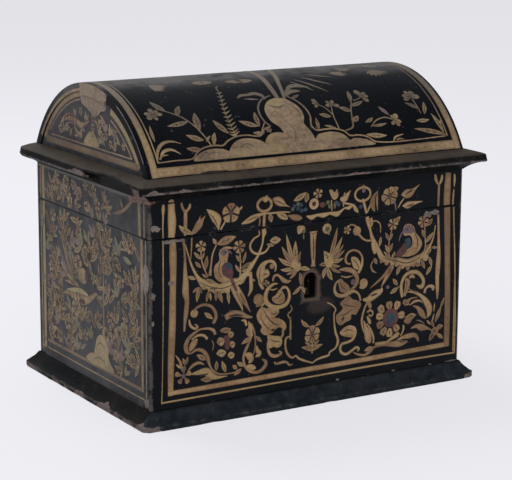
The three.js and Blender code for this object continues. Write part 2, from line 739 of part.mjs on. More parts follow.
function staple() {
  const top = lidBase + rimGap / 2;
  const eyeBottom = boltHeadBottom - slideClearance;
  const half = stapleWidth / 2;
  const loop = block([-half, 0, eyeBottom - stapleBar], [half, stapleDepth, top]);
  const eye = block(
    [-half - cutMargin, stapleBar, eyeBottom],
    [half + cutMargin, stapleDepth - stapleBar, top - stapleBar],
  );
  return loop.subtract(eye);
}

add(lid, 'staple_plate', staplePlate(), iron, [staplePlace, innerFront, 0]);
add(lid, 'lock_staple', staple(), iron, [staplePlace, innerFront + stapleFront, -lidBase]);
staplePlateNails.forEach(([x, z], i) => {
  const seat = innerFront + 2 * glueLine + staplePlateThickness;
  add(lid, `staple_plate_nail_${i + 1}`, nailShape, iron, [x, seat, z]);
});

export default casket;
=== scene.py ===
# %% [markdown]
# # A small casket with a domed lid, black lacquer painted in gold
# The boards, mouldings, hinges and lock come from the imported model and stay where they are. This notebook gives
# them their finishes, lays the painted ornament over them, and sets up the floor, the lights and the camera.

# %% The frame
import bpy
import math
import random
import re
from mathutils import Matrix, Vector, noise


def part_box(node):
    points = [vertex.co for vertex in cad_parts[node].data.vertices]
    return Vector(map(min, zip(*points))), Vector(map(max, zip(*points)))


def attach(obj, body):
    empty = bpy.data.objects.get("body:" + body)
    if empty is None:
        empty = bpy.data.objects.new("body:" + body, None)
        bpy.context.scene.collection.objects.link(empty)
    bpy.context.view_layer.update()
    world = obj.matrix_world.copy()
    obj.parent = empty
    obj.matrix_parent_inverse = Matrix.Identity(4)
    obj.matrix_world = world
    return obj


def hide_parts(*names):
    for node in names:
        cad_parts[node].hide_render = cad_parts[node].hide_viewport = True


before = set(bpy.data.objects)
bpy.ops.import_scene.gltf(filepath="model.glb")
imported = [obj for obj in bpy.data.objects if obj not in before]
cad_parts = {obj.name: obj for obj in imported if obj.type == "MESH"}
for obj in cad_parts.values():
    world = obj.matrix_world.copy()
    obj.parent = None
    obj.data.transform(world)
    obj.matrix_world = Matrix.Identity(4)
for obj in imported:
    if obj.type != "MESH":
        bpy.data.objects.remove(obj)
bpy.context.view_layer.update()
mm = 0.001

# %% [markdown]
# ## Sizes that the finishes need
# Wear and painting follow the casket's own edges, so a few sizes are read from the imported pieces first: the faces
# of the box, the seam under the lid and the axis that the dome is bent round.

# %% Sizes
half_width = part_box("front_board")[1].x / mm
half_depth = -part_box("front_board")[0].y / mm
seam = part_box("front_board")[1].z / mm
lid_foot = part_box("lid_front_rail")[0].z / mm
cornice_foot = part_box("front_cornice")[0].z / mm
dome_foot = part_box("dome_stave_1")[0].z / mm
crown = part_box("dome_stave_4")[1].z / mm
dome_half_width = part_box("dome_stave_4")[1].x / mm
dome_half_depth = -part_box("dome_stave_1")[0].y / mm
panel_face = -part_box("left_end_panel")[0].x / mm
rise = crown - dome_foot
dome_radius = (dome_half_depth ** 2 + rise ** 2) / (2 * rise)
dome_axis = crown - dome_radius
dome_arc = 2 * dome_radius * math.asin(dome_half_depth / dome_radius)
print("faces at", half_width, half_depth, "seam", seam, "dome radius", round(dome_radius, 2), "arc", round(dome_arc, 1))

# %% [markdown]
# ## The camera
# The photograph looks at the front from a little above and to the left. Its direction, distance and aim are given
# in widths of the box, because that is how they were fitted to the corners in the picture.

# %% The camera
width = 2 * half_width * mm
azimuth, elevation, roll = (math.radians(a) for a in (-30.96, 12.15, 0.28))
distance, aim_across, aim_height, focal_pixels, picture_width = 5.371, 0.0229, 0.3879, 1875.4, 512
back = Vector((math.sin(azimuth) * math.cos(elevation), -math.cos(azimuth) * math.cos(elevation), math.sin(elevation)))
aim = Vector((aim_across * math.cos(azimuth), aim_across * math.sin(azimuth), aim_height))
level = Vector((math.cos(azimuth), math.sin(azimuth), 0))
upright = back.cross(level)
right = level * math.cos(roll) + upright * math.sin(roll)
up = upright * math.cos(roll) - level * math.sin(roll)

bpy.ops.object.camera_add(location=(aim + back * distance) * width)
camera = bpy.context.object
camera.name = "camera"
camera.rotation_euler = Matrix((right, up, back)).transposed().to_euler()
camera.data.lens = focal_pixels / picture_width * camera.data.sensor_width
bpy.context.scene.camera = camera
bpy.context.scene.view_settings.view_transform = "Standard"
print("lens in mm:", round(camera.data.lens, 1))

# %% [markdown]
# ## Shader maths
# A finish is a few lines of arithmetic on positions and noise. The class below wraps a socket, so that the maths
# can be written as an expression, and each operator adds the Math node that does it.


# %% The class for shader maths
class Value:
    """A number that varies over a surface."""

    def __init__(self, finish, socket):
        self.finish, self.socket = finish, socket

    def maths(self, operation, *others):
        sockets = {i: value for i, value in enumerate((self, *others))}
        return self.finish.node("ShaderNodeMath", {"operation": operation}, sockets)[0]

    def __add__(self, other): return self.maths("ADD", other)
    def __sub__(self, other): return self.maths("SUBTRACT", other)
    def __mul__(self, other): return self.maths("MULTIPLY", other)
    def __truediv__(self, other): return self.maths("DIVIDE", other)
    def __pow__(self, other): return self.maths("POWER", other)
    def __neg__(self): return self * -1
    def __abs__(self): return self.maths("ABSOLUTE")
    def __rsub__(self, other): return self * -1 + other
    def larger(self, other): return self.maths("MAXIMUM", other)
    def smaller(self, other): return self.maths("MINIMUM", other)
    __radd__, __rmul__ = __add__, __mul__

    def step(self, low, high):
        """0 below low, 1 above high, and smooth between; low may be the larger one."""
        settings = {"interpolation_type": "SMOOTHSTEP"}
        if low > high:
            return 1 - self.step(high, low)
        return self.finish.node("ShaderNodeMapRange", settings, {"Value": self, "From Min": low, "From Max": high})[0]


def linear(red, green, blue):
    """A colour as it is seen on the screen, 0 to 255, in the linear values that a shader takes."""
    return (*((c / 255 / 12.92) if c < 10.3 else ((c / 255 + 0.055) / 1.055) ** 2.4 for c in (red, green, blue)), 1)


class Finish:
    """A material with one Principled shader, built up node by node."""

    def __init__(self, name, **sockets):
        self.material = bpy.data.materials.new(name)
        self.material.use_nodes = True
        self.tree = self.material.node_tree
        self.shader = self.tree.nodes["Principled BSDF"]
        self.position = self.node("ShaderNodeTexCoord")["Object"]
        split = self.node("ShaderNodeSeparateXYZ", {}, {"Vector": self.position})
        self.x, self.y, self.z = (Value(self, split[i].socket) / mm for i in range(3))
        for socket, value in sockets.items():
            self.shader.inputs[socket.replace("_", " ")].default_value = value

    def node(self, kind, settings=None, sockets=None):
        made = self.tree.nodes.new(kind)
        for name, value in (settings or {}).items():
            setattr(made, name, value)
        for name, value in (sockets or {}).items():
            self.join(made.inputs[name], value)
        return Outputs(self, made)

    def join(self, target, value):
        if isinstance(value, Value):
            self.tree.links.new(value.socket, target)
        else:
            target.default_value = value

    def noise(self, scale, detail=3.0, stretch=None):
        """Noise with a scale in waves per metre, stretched along the axes if asked."""
        place = self.position
        if stretch:
            place = self.node("ShaderNodeMapping", {}, {"Vector": place, "Scale": stretch})[0]
        return self.node("ShaderNodeTexNoise", {}, {"Vector": place, "Scale": scale, "Detail": detail})[0]

    def mix(self, share, first, second):
        """The first colour where share is 0, the second where it is 1. Three numbers are a colour on the screen."""
        first, second = (linear(*colour) if isinstance(colour, tuple) else colour for colour in (first, second))
        sockets = {0: share, 6: first, 7: second}
        return self.node("ShaderNodeMix", {"data_type": "RGBA"}, sockets)[2]

    def bump(self, height, distance, strength):
        return self.node("ShaderNodeBump", {}, {"Height": height, "Distance": distance, "Strength": strength})[0]

    def give(self, **sockets):
        for socket, value in sockets.items():
            self.join(self.shader.inputs[socket.replace("_", " ")], value)
        return self.material


class Outputs:
    """The outputs of a node, by name or number."""

    def __init__(self, finish, made):
        self.finish, self.made = finish, made

    def __getitem__(self, key):
        return Value(self.finish, self.made.outputs[key])


# %% [markdown]
# ## Floor, light and background
# The casket stands on a pale seamless floor that fills the picture. A wide soft lamp hangs over the back, so that
# the crown of the dome shines, a second one lights the front, and the sky colour fills the shadows.


# %% Floor
def paper(name, colour, glow_colour, share):
    """A matt surface that looks evenly lit to the camera and in reflections, but keeps part of its shadow."""
    finish = Finish(name, Base_Color=colour, Roughness=0.9, Specular_IOR_Level=0.1)
    glow = finish.node("ShaderNodeEmission", {}, {"Color": glow_colour})[0]
    ray = finish.node("ShaderNodeLightPath")
    seen = ray["Is Camera Ray"].larger(ray["Is Glossy Ray"]).larger(ray["Is Transmission Ray"])
    lit = Value(finish, finish.shader.outputs[0])
    mixed = finish.node("ShaderNodeMixShader", {}, {0: seen * share, 1: lit, 2: glow})[0]
    finish.join(finish.tree.nodes["Material Output"].inputs[0], mixed)
    return finish.material


bpy.ops.mesh.primitive_plane_add(size=24, location=(0, 0, 0))
floor = bpy.context.object
floor.name = "floor"
floor.data.materials.append(paper("pale paper floor", (0.80, 0.795, 0.84, 1), (0.85, 0.842, 0.885, 1), 0.8))

# %% Lamps and sky
def lamp(name, place, aim_at, size, power, tint=(1, 1, 1)):
    bpy.ops.object.light_add(type="AREA", location=place)
    made = bpy.context.object
    made.name = name
    made.data.shape, made.data.size, made.data.energy, made.data.color = "DISK", size, power, tint
    made.rotation_euler = (Vector(aim_at) - Vector(place)).to_track_quat("-Z", "Y").to_euler()
    return made


lamp("overhead_lamp", (-0.15, 0.75, 1.15), (0, 0, 0.12), 0.9, 11)
lamp("front_lamp", (-0.9, -1.5, 1.3), (0, 0, 0.1), 1.1, 18)
world = bpy.data.worlds.new("studio")
bpy.context.scene.world = world
world.use_nodes = True
sky = world.node_tree.nodes["Background"]
sky.inputs["Color"].default_value = (0.93, 0.94, 1.0, 1)
sky.inputs["Strength"].default_value = 0.55

# %% [markdown]
# ## Old wood
# Under the lacquer is a pale wood that has turned brown. Boards show long grain, and the inside, the rim and the
# joints of the casket are bare. The grain is noise stretched along the board, and the same lines feed the bump.


# %% Bare wood
along_x, along_y = (0.06, 1, 1), (1, 0.06, 1)


def wood_parts(finish, along):
    """Colour, roughness and height of old bare wood whose grain runs along the axis with the small number."""
    grain = finish.noise(900, 5, along)
    pores = finish.noise(2600, 2, along).step(0.56, 0.72)
    cloud = finish.noise(28, 3).step(0.3, 0.72)
    pale = finish.mix(grain.step(0.35, 0.68), (122, 88, 58), (158, 122, 84))
    colour = finish.mix(cloud * 0.45, pale, (92, 64, 42))
    colour = finish.mix(pores * 0.6, colour, (58, 38, 24))
    return colour, 0.62 + grain * 0.2, grain * 0.6 - pores


def make_wood(name, along):
    finish = Finish(name)
    colour, rough, height = wood_parts(finish, along)
    stain = finish.noise(14, 4).step(0.5, 0.75) * 0.35
    colour = finish.mix(stain, colour, (52, 40, 32))
    return finish.give(Base_Color=colour, Roughness=rough, Normal=finish.bump(height, 0.00012, 0.6))


bottom_wood = make_wood("old wood of the bottom", along_x)
print("materials:", len(bpy.data.materials))

# %% [markdown]
# ## Black lacquer
# The lacquer is a blue-black coat with a soft shine. It is rubbed grey at the corners and edges, has fine pits
# and small pale knocks, and ends a little way round each edge, where the bare wood begins. How far a point lies
# outside the wood's own faces tells lacquer from wood, so one finish does for the outside and the inside.


# %% A coat of lacquer
def lacquer_parts(finish, wear, bloom):
    """Colour, roughness and height of worn lacquer; wear is 1 on an arris and falls to 0 away from it, and bloom
    is the share of a patchy pale grey mixed into it: on the dome a painted sheen of the lamp above, from just before
    the crown over to the back, and on the sides and end panels an even share over the whole face."""
    broad = finish.noise(22, 3)
    middle = finish.noise(120, 4)
    fine = finish.noise(620, 4)
    ragged = wear + (middle - 0.5) * 0.9 + (fine - 0.5) * 0.5
    rubbed = ragged.step(0.52, 0.78) * 0.72
    bare = ragged.step(0.86, 0.98)
    specks = (fine + middle * 0.6).step(1.0, 1.06) * 0.5
    cells = finish.node("ShaderNodeTexVoronoi", {}, {"Vector": finish.position, "Scale": 210})
    pits = cells["Distance"].step(0.02, 0.0)
    film = finish.mix(broad.step(0.35, 0.7), (6, 9, 13), (13, 15, 19))
    # bloom: a patchy pale grey; on the dome this is a painted sheen of the overhead light
    film = finish.mix((middle * 0.6 + broad * 0.5).step(0.25, 0.75) * bloom, film, (82, 80, 80))
    film = finish.mix(specks, film, (84, 80, 80))
    film = finish.mix(rubbed, film, (84, 79, 76))
    film = finish.mix(bare, film, (128, 104, 90))
    rough = 0.34 + middle * 0.16 + rubbed * 0.3 + bare * 0.2 + bloom * 0.15
    height = middle * 0.4 + fine * 0.12 - bare * 1.2 - specks * 0.6 - pits * 0.3
    return film, rough, height


# %% Wear round the keyhole
keyhole_across, keyhole_foot, keyhole_head, keyhole_wide = -1.5, 64.0, 75.2, 9.6


def keyhole_ring(finish):
    """How far, in mm, a point lies outside the keyhole: a round top over a slot."""
    across, over = abs(finish.x - keyhole_across), finish.z
    head = (across * across + (over - keyhole_head) ** 2) ** 0.5 - keyhole_wide / 2
    slot = (across - keyhole_wide / 2).larger(keyhole_foot - over).larger(over - keyhole_head)
    return head.smaller(slot).larger(0)


def keyhole_wear(finish):
    """Where keys have scratched the lacquer: a ragged ring, and a dull patch below and to the right of it."""
    ragged = (finish.noise(260, 4) - 0.5) * 5
    ring = (keyhole_ring(finish) + ragged).step(3.2, 0.6)
    across, over = (finish.x - 5) / 11, (finish.z - 59) / 6
    patch = ((across * across + over * over) ** 0.5 + ragged * 0.1).step(1.1, 0.5) * 0.35
    return ring.larger(patch) * (half_depth - 3 + finish.y).step(1, 0)


# %% Lacquer outside and bare wood inside
def make_lacquer(name, outside, wear, along=along_x, bloom=lambda finish: 0, shine=0.13):
    """outside(finish) is how many mm a point lies outside the wood's faces, wear(finish) is 1 at an arris."""
    finish = Finish(name, Specular_IOR_Level=shine)
    wood, wood_rough, wood_height = wood_parts(finish, along)
    film, film_rough, film_height = lacquer_parts(finish, wear(finish), bloom(finish))
    if name in ("lacquer of the box", "lacquer of the sides"):
        film = under_lip(finish, film)
    if name == "lacquer of the box":
        # painted shade: the walls of the keyhole are coloured near black
        keyhole_wall_shade = (1 - keyhole_ring(finish).step(0, 1.6)) * (-finish.y).step(50, 60)
        wood = finish.mix(keyhole_wall_shade, wood, (14, 11, 10))
        film = finish.mix(keyhole_wear(finish), film, (78, 66, 58))
    ragged = finish.noise(500, 4) - 0.5
    covered = (outside(finish) + ragged * 1.2).step(-2.4, -1.9)
    colour = finish.mix(covered, wood, film)
    rough = wood_rough + covered * (film_rough - wood_rough)
    height = wood_height * 0.4 + covered * (film_height - wood_height * 0.4)
    return finish.give(Base_Color=colour, Roughness=rough, Normal=finish.bump(height, 0.00009, 0.55))


# %% Faces and edges of the casket
def box_outside(finish):
    return (abs(finish.x) - half_width).larger(abs(finish.y) - half_depth)


def box_wear_and_seam_highlight(finish):
    """Near 1 at the upright corners and at the seam between the box and the lid's frame."""
    corner = (half_width - abs(finish.x)) + (half_depth - abs(finish.y))
    at_corner = corner.step(5, 0) * 0.84
    # the grey along the seam is partly wear and partly a painted highlight on the rounded edges of the seam
    at_seam = abs(finish.z - (seam + lid_foot) / 2).step(2.6, 0.2) * 0.5
    return at_corner.larger(at_seam)


def under_lip(finish, film):
    """The lid's left rail under the cornice: a rubbed edge, and wood torn bare at the front corner."""
    ragged = finish.noise(300, 4) - 0.5
    height = finish.z - cornice_foot + ragged * 1.6
    left = (finish.x + half_width).step(1.5, 0.5)
    film = finish.mix(height.step(-2.0, -1.4) * left * 0.6, film, (106, 101, 95))
    tapered = height - (-finish.y).step(48, 78) * 2.2
    tear = tapered.step(-4.2, -3.5) * (finish.y + ragged * 6 + 50).step(0, -3) * (finish.x + half_width - 5).step(0, -2)
    torn = finish.mix((ragged * 2).step(-0.2, 0.25), (84, 60, 50), (120, 94, 82))
    return finish.mix(tear * finish.z.step(cornice_foot + 0.6, cornice_foot), film, torn)


def dome_outside(finish):
    drop = finish.z - dome_axis
    return ((finish.y * finish.y + drop * drop) ** 0.5 - dome_radius).larger(abs(finish.x) - dome_half_width)


def dome_wear(finish):
    end = (dome_half_width - abs(finish.x)).step(4.5, 0)
    foot = (finish.z - dome_foot).step(2.5, 0)
    return (end * 0.42).larger(foot * 0.5)


def panel_outside(finish):
    return abs(finish.x) - panel_face


# %% The four lacquers
box_lacquer = make_lacquer("lacquer of the box", box_outside, box_wear_and_seam_highlight, shine=0.09)
# the sides and the end panels get an even share of paler grey over the whole face
side_lacquer = make_lacquer("lacquer of the sides", box_outside, box_wear_and_seam_highlight, along_y, lambda f: 0.62)
# painted sheen: the dome's bloom is pale grey from just before the crown over to the back, where the lamp above
# reflects
dome_lacquer = make_lacquer("lacquer of the dome", dome_outside, dome_wear, shine=0.04,
                            bloom=lambda f: f.y.step(-28, -3) * f.y.step(60, 25) * 1.45)
panel_lacquer = make_lacquer("lacquer of the end panels", panel_outside, lambda f: 0, along_y, lambda f: 0.5)
print("materials:", len(bpy.data.materials))

# %% [markdown]
# ## Black of the mouldings
# The foot and the cornice are plain black, and dull from handling. The sloping top of the cornice is painted a
# lighter brown in patches, a painted highlight of the light from above. Where their edges are chipped, a pinkish
# brown wood shows. The chips are cut into the strips themselves further down, and each strip carries three values
# at its points, how deep it is chipped, how much it is rubbed and how much painted shade of a hollow it gets, which
# this finish reads.


# %% Moulding lacquer
def make_moulding(name):
    finish = Finish(name, Specular_IOR_Level=0.035)
    chipped, rubbed, hollow_shade = (finish.node("ShaderNodeAttribute", {"attribute_name": kind})["Fac"]
                               for kind in ("chipped", "rubbed", "hollow_shade"))
    broad, middle, fine = finish.noise(34, 3), finish.noise(190, 4), finish.noise(800, 4)
    ragged = (middle - 0.5) * 0.5 + (fine - 0.5) * 0.3
    bare, dull = (chipped + ragged).step(0.42, 0.56), (rubbed + ragged * 1.6).step(0.3, 0.8)
    film = finish.mix(middle.step(0.35, 0.7), (6, 10, 11), (15, 17, 19))
    film = finish.mix(broad.step(0.4, 0.7) * 0.4, film, (44, 37, 32))
    # painted highlight: the sloping top of the cornice is lighter brown in patches, where the light from above falls
    top = finish.z.step(cornice_foot + 9.2, cornice_foot + 10.4)
    film = finish.mix(top * (broad * 0.9 + middle * 0.5), film, (66, 58, 50))
    front = (finish.y + half_depth).step(-0.2, -1.5) * finish.z.step(14, 12)
    film = finish.mix(front * (middle * 1.3 - 0.1), film, (42, 48, 54))
    film = finish.mix((fine + middle * 0.5).step(0.92, 1.0) * 0.35, film, (92, 88, 84))
    film = finish.mix(dull * 0.7, film, (98, 92, 88))
    chip = finish.mix(fine.step(0.38, 0.64), (86, 74, 68), (124, 108, 100))
    chip = finish.mix(broad.step(0.4, 0.62) * 0.6, chip, (98, 93, 91))
    # painted shade: the hollow under the broken lip is coloured near black
    colour = finish.mix(hollow_shade, finish.mix(bare, film, chip), (9, 8, 8))
    colour = finish.mix(box_outside(finish).step(-6, -7), colour, wood_parts(finish, along_x)[0])
    height = middle * 0.5 + fine * 0.25 - bare * 0.8
    return finish.give(Base_Color=colour, Roughness=0.42 + middle * 0.2 + bare * 0.3,
                       Normal=finish.bump(height, 0.00016, 0.7))


moulding_black = make_moulding("dull black of the mouldings")

# %% [markdown]
# ## Iron
# The hinges and the lock are forged iron gone dull and brown: a dark grey metal, rough, with thin rust in patches.


# %% Iron
def make_iron():
    finish = Finish("dull old iron")
    rust = (finish.noise(160, 5) + finish.noise(900, 3) * 0.4).step(0.62, 0.86)
    hammered = finish.noise(420, 2)
    colour = finish.mix(hammered, (84, 80, 78), (112, 106, 102))
    colour = finish.mix(rust, colour, (84, 56, 40))
    return finish.give(Base_Color=colour, Metallic=0.9 - rust * 0.8, Roughness=0.42 + rust * 0.35,
                       Normal=finish.bump(hammered + rust * 0.6, 0.0001, 0.6))


iron = make_iron()

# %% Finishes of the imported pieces
coats = {
    "bottom_board": bottom_wood, "front_board": box_lacquer, "back_board": box_lacquer, "left_board": side_lacquer,
    "right_board": side_lacquer, "lid_front_rail": box_lacquer, "lid_back_rail": box_lacquer,
    "lid_left_rail": side_lacquer, "lid_right_rail": side_lacquer, "left_end_panel": panel_lacquer,
    "right_end_panel": panel_lacquer,
}
for name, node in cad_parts.items():
    if name.startswith("dome_stave"):
        coat = dome_lacquer
    elif name.endswith(("_base_moulding", "_cornice")):
        coat = moulding_black
    else:
        coat = coats.get(name, iron)
    node.data.materials.clear()
    node.data.materials.append(coat)
print("finished", len(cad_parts), "packed pieces")

# %% [markdown]
# ## A smooth dome
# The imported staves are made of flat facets. The real barrel was planed round before it was lacquered, so each
# stave is modelled again with a finer curve: a flat bar is spun about the dome's axis, and the outside is a hair
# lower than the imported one, which leaves room for the paint.

# %% The staves
paint_room, stave_thick, joint_width = 0.25, 5.5, 0.05
stave_count, stave_steps = 7, 14
stave_angle = dome_arc / dome_radius / stave_count
stave_gap = joint_width / dome_radius


def clear_selection():
    bpy.ops.object.select_all(action="DESELECT")


def edit_all():
    bpy.ops.object.mode_set(mode="EDIT")
    bpy.ops.mesh.select_all(action="SELECT")


def stave(number):
    clear_selection()
    outer, inner = dome_radius - paint_room, dome_radius - stave_thick
    bpy.ops.mesh.primitive_plane_add(size=1, location=(0, 0, 0))
    made = bpy.context.object
    made.name = f"smooth_stave_{number}"
    start = -dome_arc / dome_radius / 2 + (number - 1) * stave_angle + stave_gap / 2
    for vertex in made.data.vertices:
        radius = outer if vertex.co.y > 0 else inner
        side = dome_half_width if vertex.co.x > 0 else -dome_half_width
        vertex.co = Vector((side, radius * math.sin(start), dome_axis + radius * math.cos(start))) * mm
    edit_all()
    bpy.ops.mesh.spin(steps=stave_steps, angle=stave_angle - stave_gap, center=(0, 0, dome_axis * mm), axis=(1, 0, 0))
    bpy.ops.mesh.select_all(action="SELECT")
    bpy.ops.mesh.normals_make_consistent(inside=False)
    bpy.ops.object.mode_set(mode="OBJECT")
    bpy.ops.object.shade_smooth_by_angle(angle=math.radians(30))
    made.data.materials.append(dome_lacquer)
    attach(made, "lid")
    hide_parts(f"dome_stave_{number}")
    return made


staves = [stave(number) for number in range(1, stave_count + 1)]
print("stave 1 in mm:", [round(c / mm, 1) for c in staves[0].bound_box[0]], "faces", len(staves[0].data.polygons))

# %% [markdown]
# ## Chipped mouldings
# The imported strips are clean and sharp. The real ones have rounded corners and have lost pieces of their edges:
# the foot has bites along its left side, the cornice's lip is rough, and at its left a length of the lip has
# broken away. A copy of each strip is cut into short lengths and thin layers with bisect, so that it has points
# enough, and the points near an edge are then pushed inwards where the edge is chipped. Where the lip is broken, a
# thin slab is left of it, with painted shade, a near-black colour, in the hollow under it, and torn wood in that at
# the front corner.

# %% The chips
# where along the strip its middle is, half its length and its height, all in mm
foot_bites = {
    "left": ((-72, 9, 3.6), (-36, 6, 2.8), (-22, 3, 2.6), (-2, 8, 4.4), (31, 10, 5.2), (47, 6, 3.4), (62, 9, 3.4),
             (79, 9, 4.6)),
    "front": ((-113, 6, 4.4), (-74, 6, 1.2), (8, 4, 1.3), (113, 4, 4.6)),
    "right": ((-60, 6, 3), (-8, 5, 2.4), (40, 8, 3), (79, 5, 3.6)),
    "back": ((-96, 6, 3), (-30, 8, 2.6), (52, 5, 2.4), (104, 6, 3.4)),
}
lip_bites = {
    "left": ((-78, 8, 2.6), (-58, 6, 2), (-40, 5, 1.6), (4, 12, 5)),
    "front": ((-112, 7, 3.6), (-95, 9, 3.2), (-70, 10, 2.8), (-48, 7, 2.6), (-31, 6, 2.2), (-10, 8, 2.2),
              (24, 14, 2.8), (48, 8, 2.4), (72, 6, 2), (96, 5, 1.8), (112, 8, 2.4)),
    "right": ((-50, 9, 1.8), (4, 6, 1.4), (46, 12, 2)),
    "back": ((-80, 10, 1.8), (-10, 7, 1.4), (64, 9, 2)),
}


def clamp(value):
    return min(1, max(0, value))


def waver(*place):
    return noise.noise(Vector(place))


def bite(place, height, bites, seed):
    """How deep the edge is chipped at a place along it and a height above it: 0 outside every bite, up to 1."""
    deepest = 0
    for middle, half, tall in bites:
        reach = 1 - ((place - middle) / half) ** 2
        if reach > 0:
            edge = tall * math.sqrt(reach) * (1 + 0.5 * waver(place * 0.2, seed, middle))
            deepest = max(deepest, clamp((edge - height) / 1.5))
    return deepest


# %% Cutting a strip
strip_lengths, weld_distance = 150, 0.000002
layer_heights = (0.4, 0.9, 1.5, 2.2, 3.0, 3.9, 4.9, 5.9, 6.6, 7.6, 9.0)


def fine_copy(name, side):
    """A copy of a packed strip under a new name, welded, and cut into short lengths and thin layers."""
    clear_selection()
    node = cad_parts[name]
    made = bpy.data.objects.new(f"worn_{name}", node.data.copy())
    bpy.context.scene.collection.objects.link(made)
    bpy.context.view_layer.objects.active = made
    made.select_set(True)
    low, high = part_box(name)
    along = Vector((1, 0, 0)) if side in ("front", "back") else Vector((0, 1, 0))
    cuts = [(low + (high - low) * (k / strip_lengths), along) for k in range(1, strip_lengths)]
    cuts += [(low + Vector((0, 0, height * mm)), Vector((0, 0, 1))) for height in layer_heights]
    edit_all()
    bpy.ops.mesh.remove_doubles(threshold=weld_distance)
    for place, direction in cuts:
        bpy.ops.mesh.select_all(action="SELECT")
        bpy.ops.mesh.bisect(plane_co=place, plane_no=direction)
    bpy.ops.object.mode_set(mode="OBJECT")
    return made


def rounded(across, depth, half_across, half_deep, radius):
    """The same point after the square corner of a plan is rounded."""
    over_x, over_y = abs(across) - (half_across - radius), abs(depth) - (half_deep - radius)
    if over_x <= 0 or over_y <= 0:
        return across, depth
    share = max(over_x, over_y) / math.hypot(over_x, over_y)
    return (math.copysign(half_across - radius + over_x * share, across),
            math.copysign(half_deep - radius + over_y * share, depth))


# %% Wearing a strip
# how far the strips stand out from the wall, how high their outer edges lie, and the radii of their corners
foot_reach, lip_reach = 8.0, 11.5
foot_edge, lip_edge = 2.6, 6.1
foot_corner, lip_corner, back_left_corner = 3.6, 3, 14
rubbing, front_foot_rubbing = 0.7, 0.45
inward_of = {"front": (0, 1), "back": (0, -1), "left": (1, 0), "right": (-1, 0)}
# the broken length of the lip, along the left strip, and the slab of the cornice's sloping top that is left of it
break_start, break_middle, break_end, torn_start = 12, 44, 86, 54
top_at_wall, top_slope, slab = 12.38, 0.24, 1.7


def broken_lip(place, out, height):
    """How far a point of the left lip goes inwards and up, how high the slab's underside is there, how broken the
    lip is and how torn."""
    broken = clamp((place - break_start) / 4) * clamp((break_end - place) / 3)
    deep = 3.2 * math.exp(-((place - break_middle) / 18) ** 2)
    left = lip_reach - broken * (1.6 + deep + 0.7 * waver(place * 0.15, 3, 1))
    roof = top_at_wall - top_slope * min(out, left) - slab
    torn = clamp((place - torn_start) / 6) * clamp(2.4 - height) if out < 4 else 0
    return max(0, out - left), max(0, roof - height) * broken * clamp(out / 3.5), roof, broken, torn


def wear_strip(name, side, foot):
    made = fine_copy(name, side)
    kinds = [made.data.attributes.new(kind, "FLOAT", "POINT") for kind in ("chipped", "rubbed", "hollow_shade")]
    bites = (foot_bites if foot else lip_bites)[side]
    base = 0 if foot else cornice_foot
    reach = foot_reach if foot else lip_reach
    inward = inward_of[side]
    seed = len(name)
    for vertex in made.data.vertices:
        x, y, z = (c / mm for c in vertex.co)
        place = x if inward[0] == 0 else -y if side == "left" else y
        out = max(abs(x) - half_width, abs(y) - half_depth)
        height = z - base
        chipped, push, lift, hollow_shade = 0.0, 0.0, 0.0, 0.0
        if out > 0.6:
            push = max(0, waver(place * 0.16, height * 0.3, seed)) * 0.2 * clamp(out / 3)
            if foot and height < 7 and out > 2:
                bare = 0.9 + 0.8 * waver(place * 0.12, seed, 5)
                rim = min(0.8, max(0, bare - height)) if side == "left" else 0
                chipped = max(bite(place, height, bites, seed), rim)
                push += chipped * 0.55 * (1 - height / 9)
            elif not foot and out > reach - 5 and 2.6 < height < 9:
                chipped = bite(place, height - 4.8 if height > 5.8 else 1 + (5.8 - height) * 1.2, bites, seed)
                push += chipped * 0.7
        if side == "left" and not foot and out > -0.3:
            inwards, lift, roof, broken, torn = broken_lip(place, out, height)
            push += inwards
            if height >= 9.5:
                lift = top_slope * push
            # painted shade: points under the slab of the broken lip get the near-black colour of shade
            hollow_shade = broken * clamp((roof - height) / 0.8) * (1 - torn)
            chipped = max(chipped * (1 - broken), torn)
        if push or lift:
            x, y = x + inward[0] * push, y + inward[1] * push
            z += lift
        corner = foot_corner if foot else back_left_corner if x < 0 < y else lip_corner
        x, y = rounded(x, y, half_width + reach, half_depth + reach, corner)
        vertex.co = Vector((x, y, z)) * mm
        edge = 1 - clamp(math.hypot(out - reach, height - (foot_edge if foot else lip_edge)) / 2.2)
        rubbed = edge * (front_foot_rubbing if foot and side == "front" else rubbing)
        for kind, value in zip(kinds, (chipped, rubbed, hollow_shade)):
            kind.data[vertex.index].value = value
    clear_selection()
    made.select_set(True)
    bpy.ops.object.shade_smooth_by_angle(angle=math.radians(34))
    made.data.materials.clear()
    made.data.materials.append(moulding_black)
    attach(made, "box" if foot else "lid")
    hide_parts(name)
    print(f"{made.name}: {len(made.data.vertices)} points")


for side in ("front", "back", "left", "right"):
    wear_strip(f"{side}_base_moulding", side, True)
    wear_strip(f"{side}_cornice", side, False)

# %% [markdown]
# ## Drawing with a brush
# The ornament was painted by hand: bands, stems, leaves, scrolls and birds in gold, with dark veins and a little
# colour on top. Each stroke is a line of points with a width at each one. A film of paint is far too thin and too
# crowded to be shaped with edit tools, so the strokes are worked out as outlines, laid flat, given their thickness
# by Solidify, and then placed on the wood. Most strokes are noted as short lines of text, which draw reads.


# %% Smooth curves
def smooth(points, steps=5, closed=False):
    """A Catmull-Rom curve through the points, whatever number of values each one has."""
    count = len(points)
    path = []
    for i in range(count if closed else count - 1):
        if closed:
            four = [points[(i + k) % count] for k in (-1, 0, 1, 2)]
        else:
            four = [points[min(max(i + k, 0), count - 1)] for k in (-1, 0, 1, 2)]
        for k in range(steps):
            t = k / steps
            path.append(tuple(
                0.5 * (2 * b + (c - a) * t + (2 * a - 5 * b + 4 * c - d) * t * t + (3 * b - a - 3 * c + d) * t ** 3)
                for a, b, c, d in zip(*four)))
    if not closed:
        path.append(tuple(points[-1]))
    return path


def polar(middle, radius, angle):
    return middle[0] + radius * math.cos(angle), middle[1] + radius * math.sin(angle)


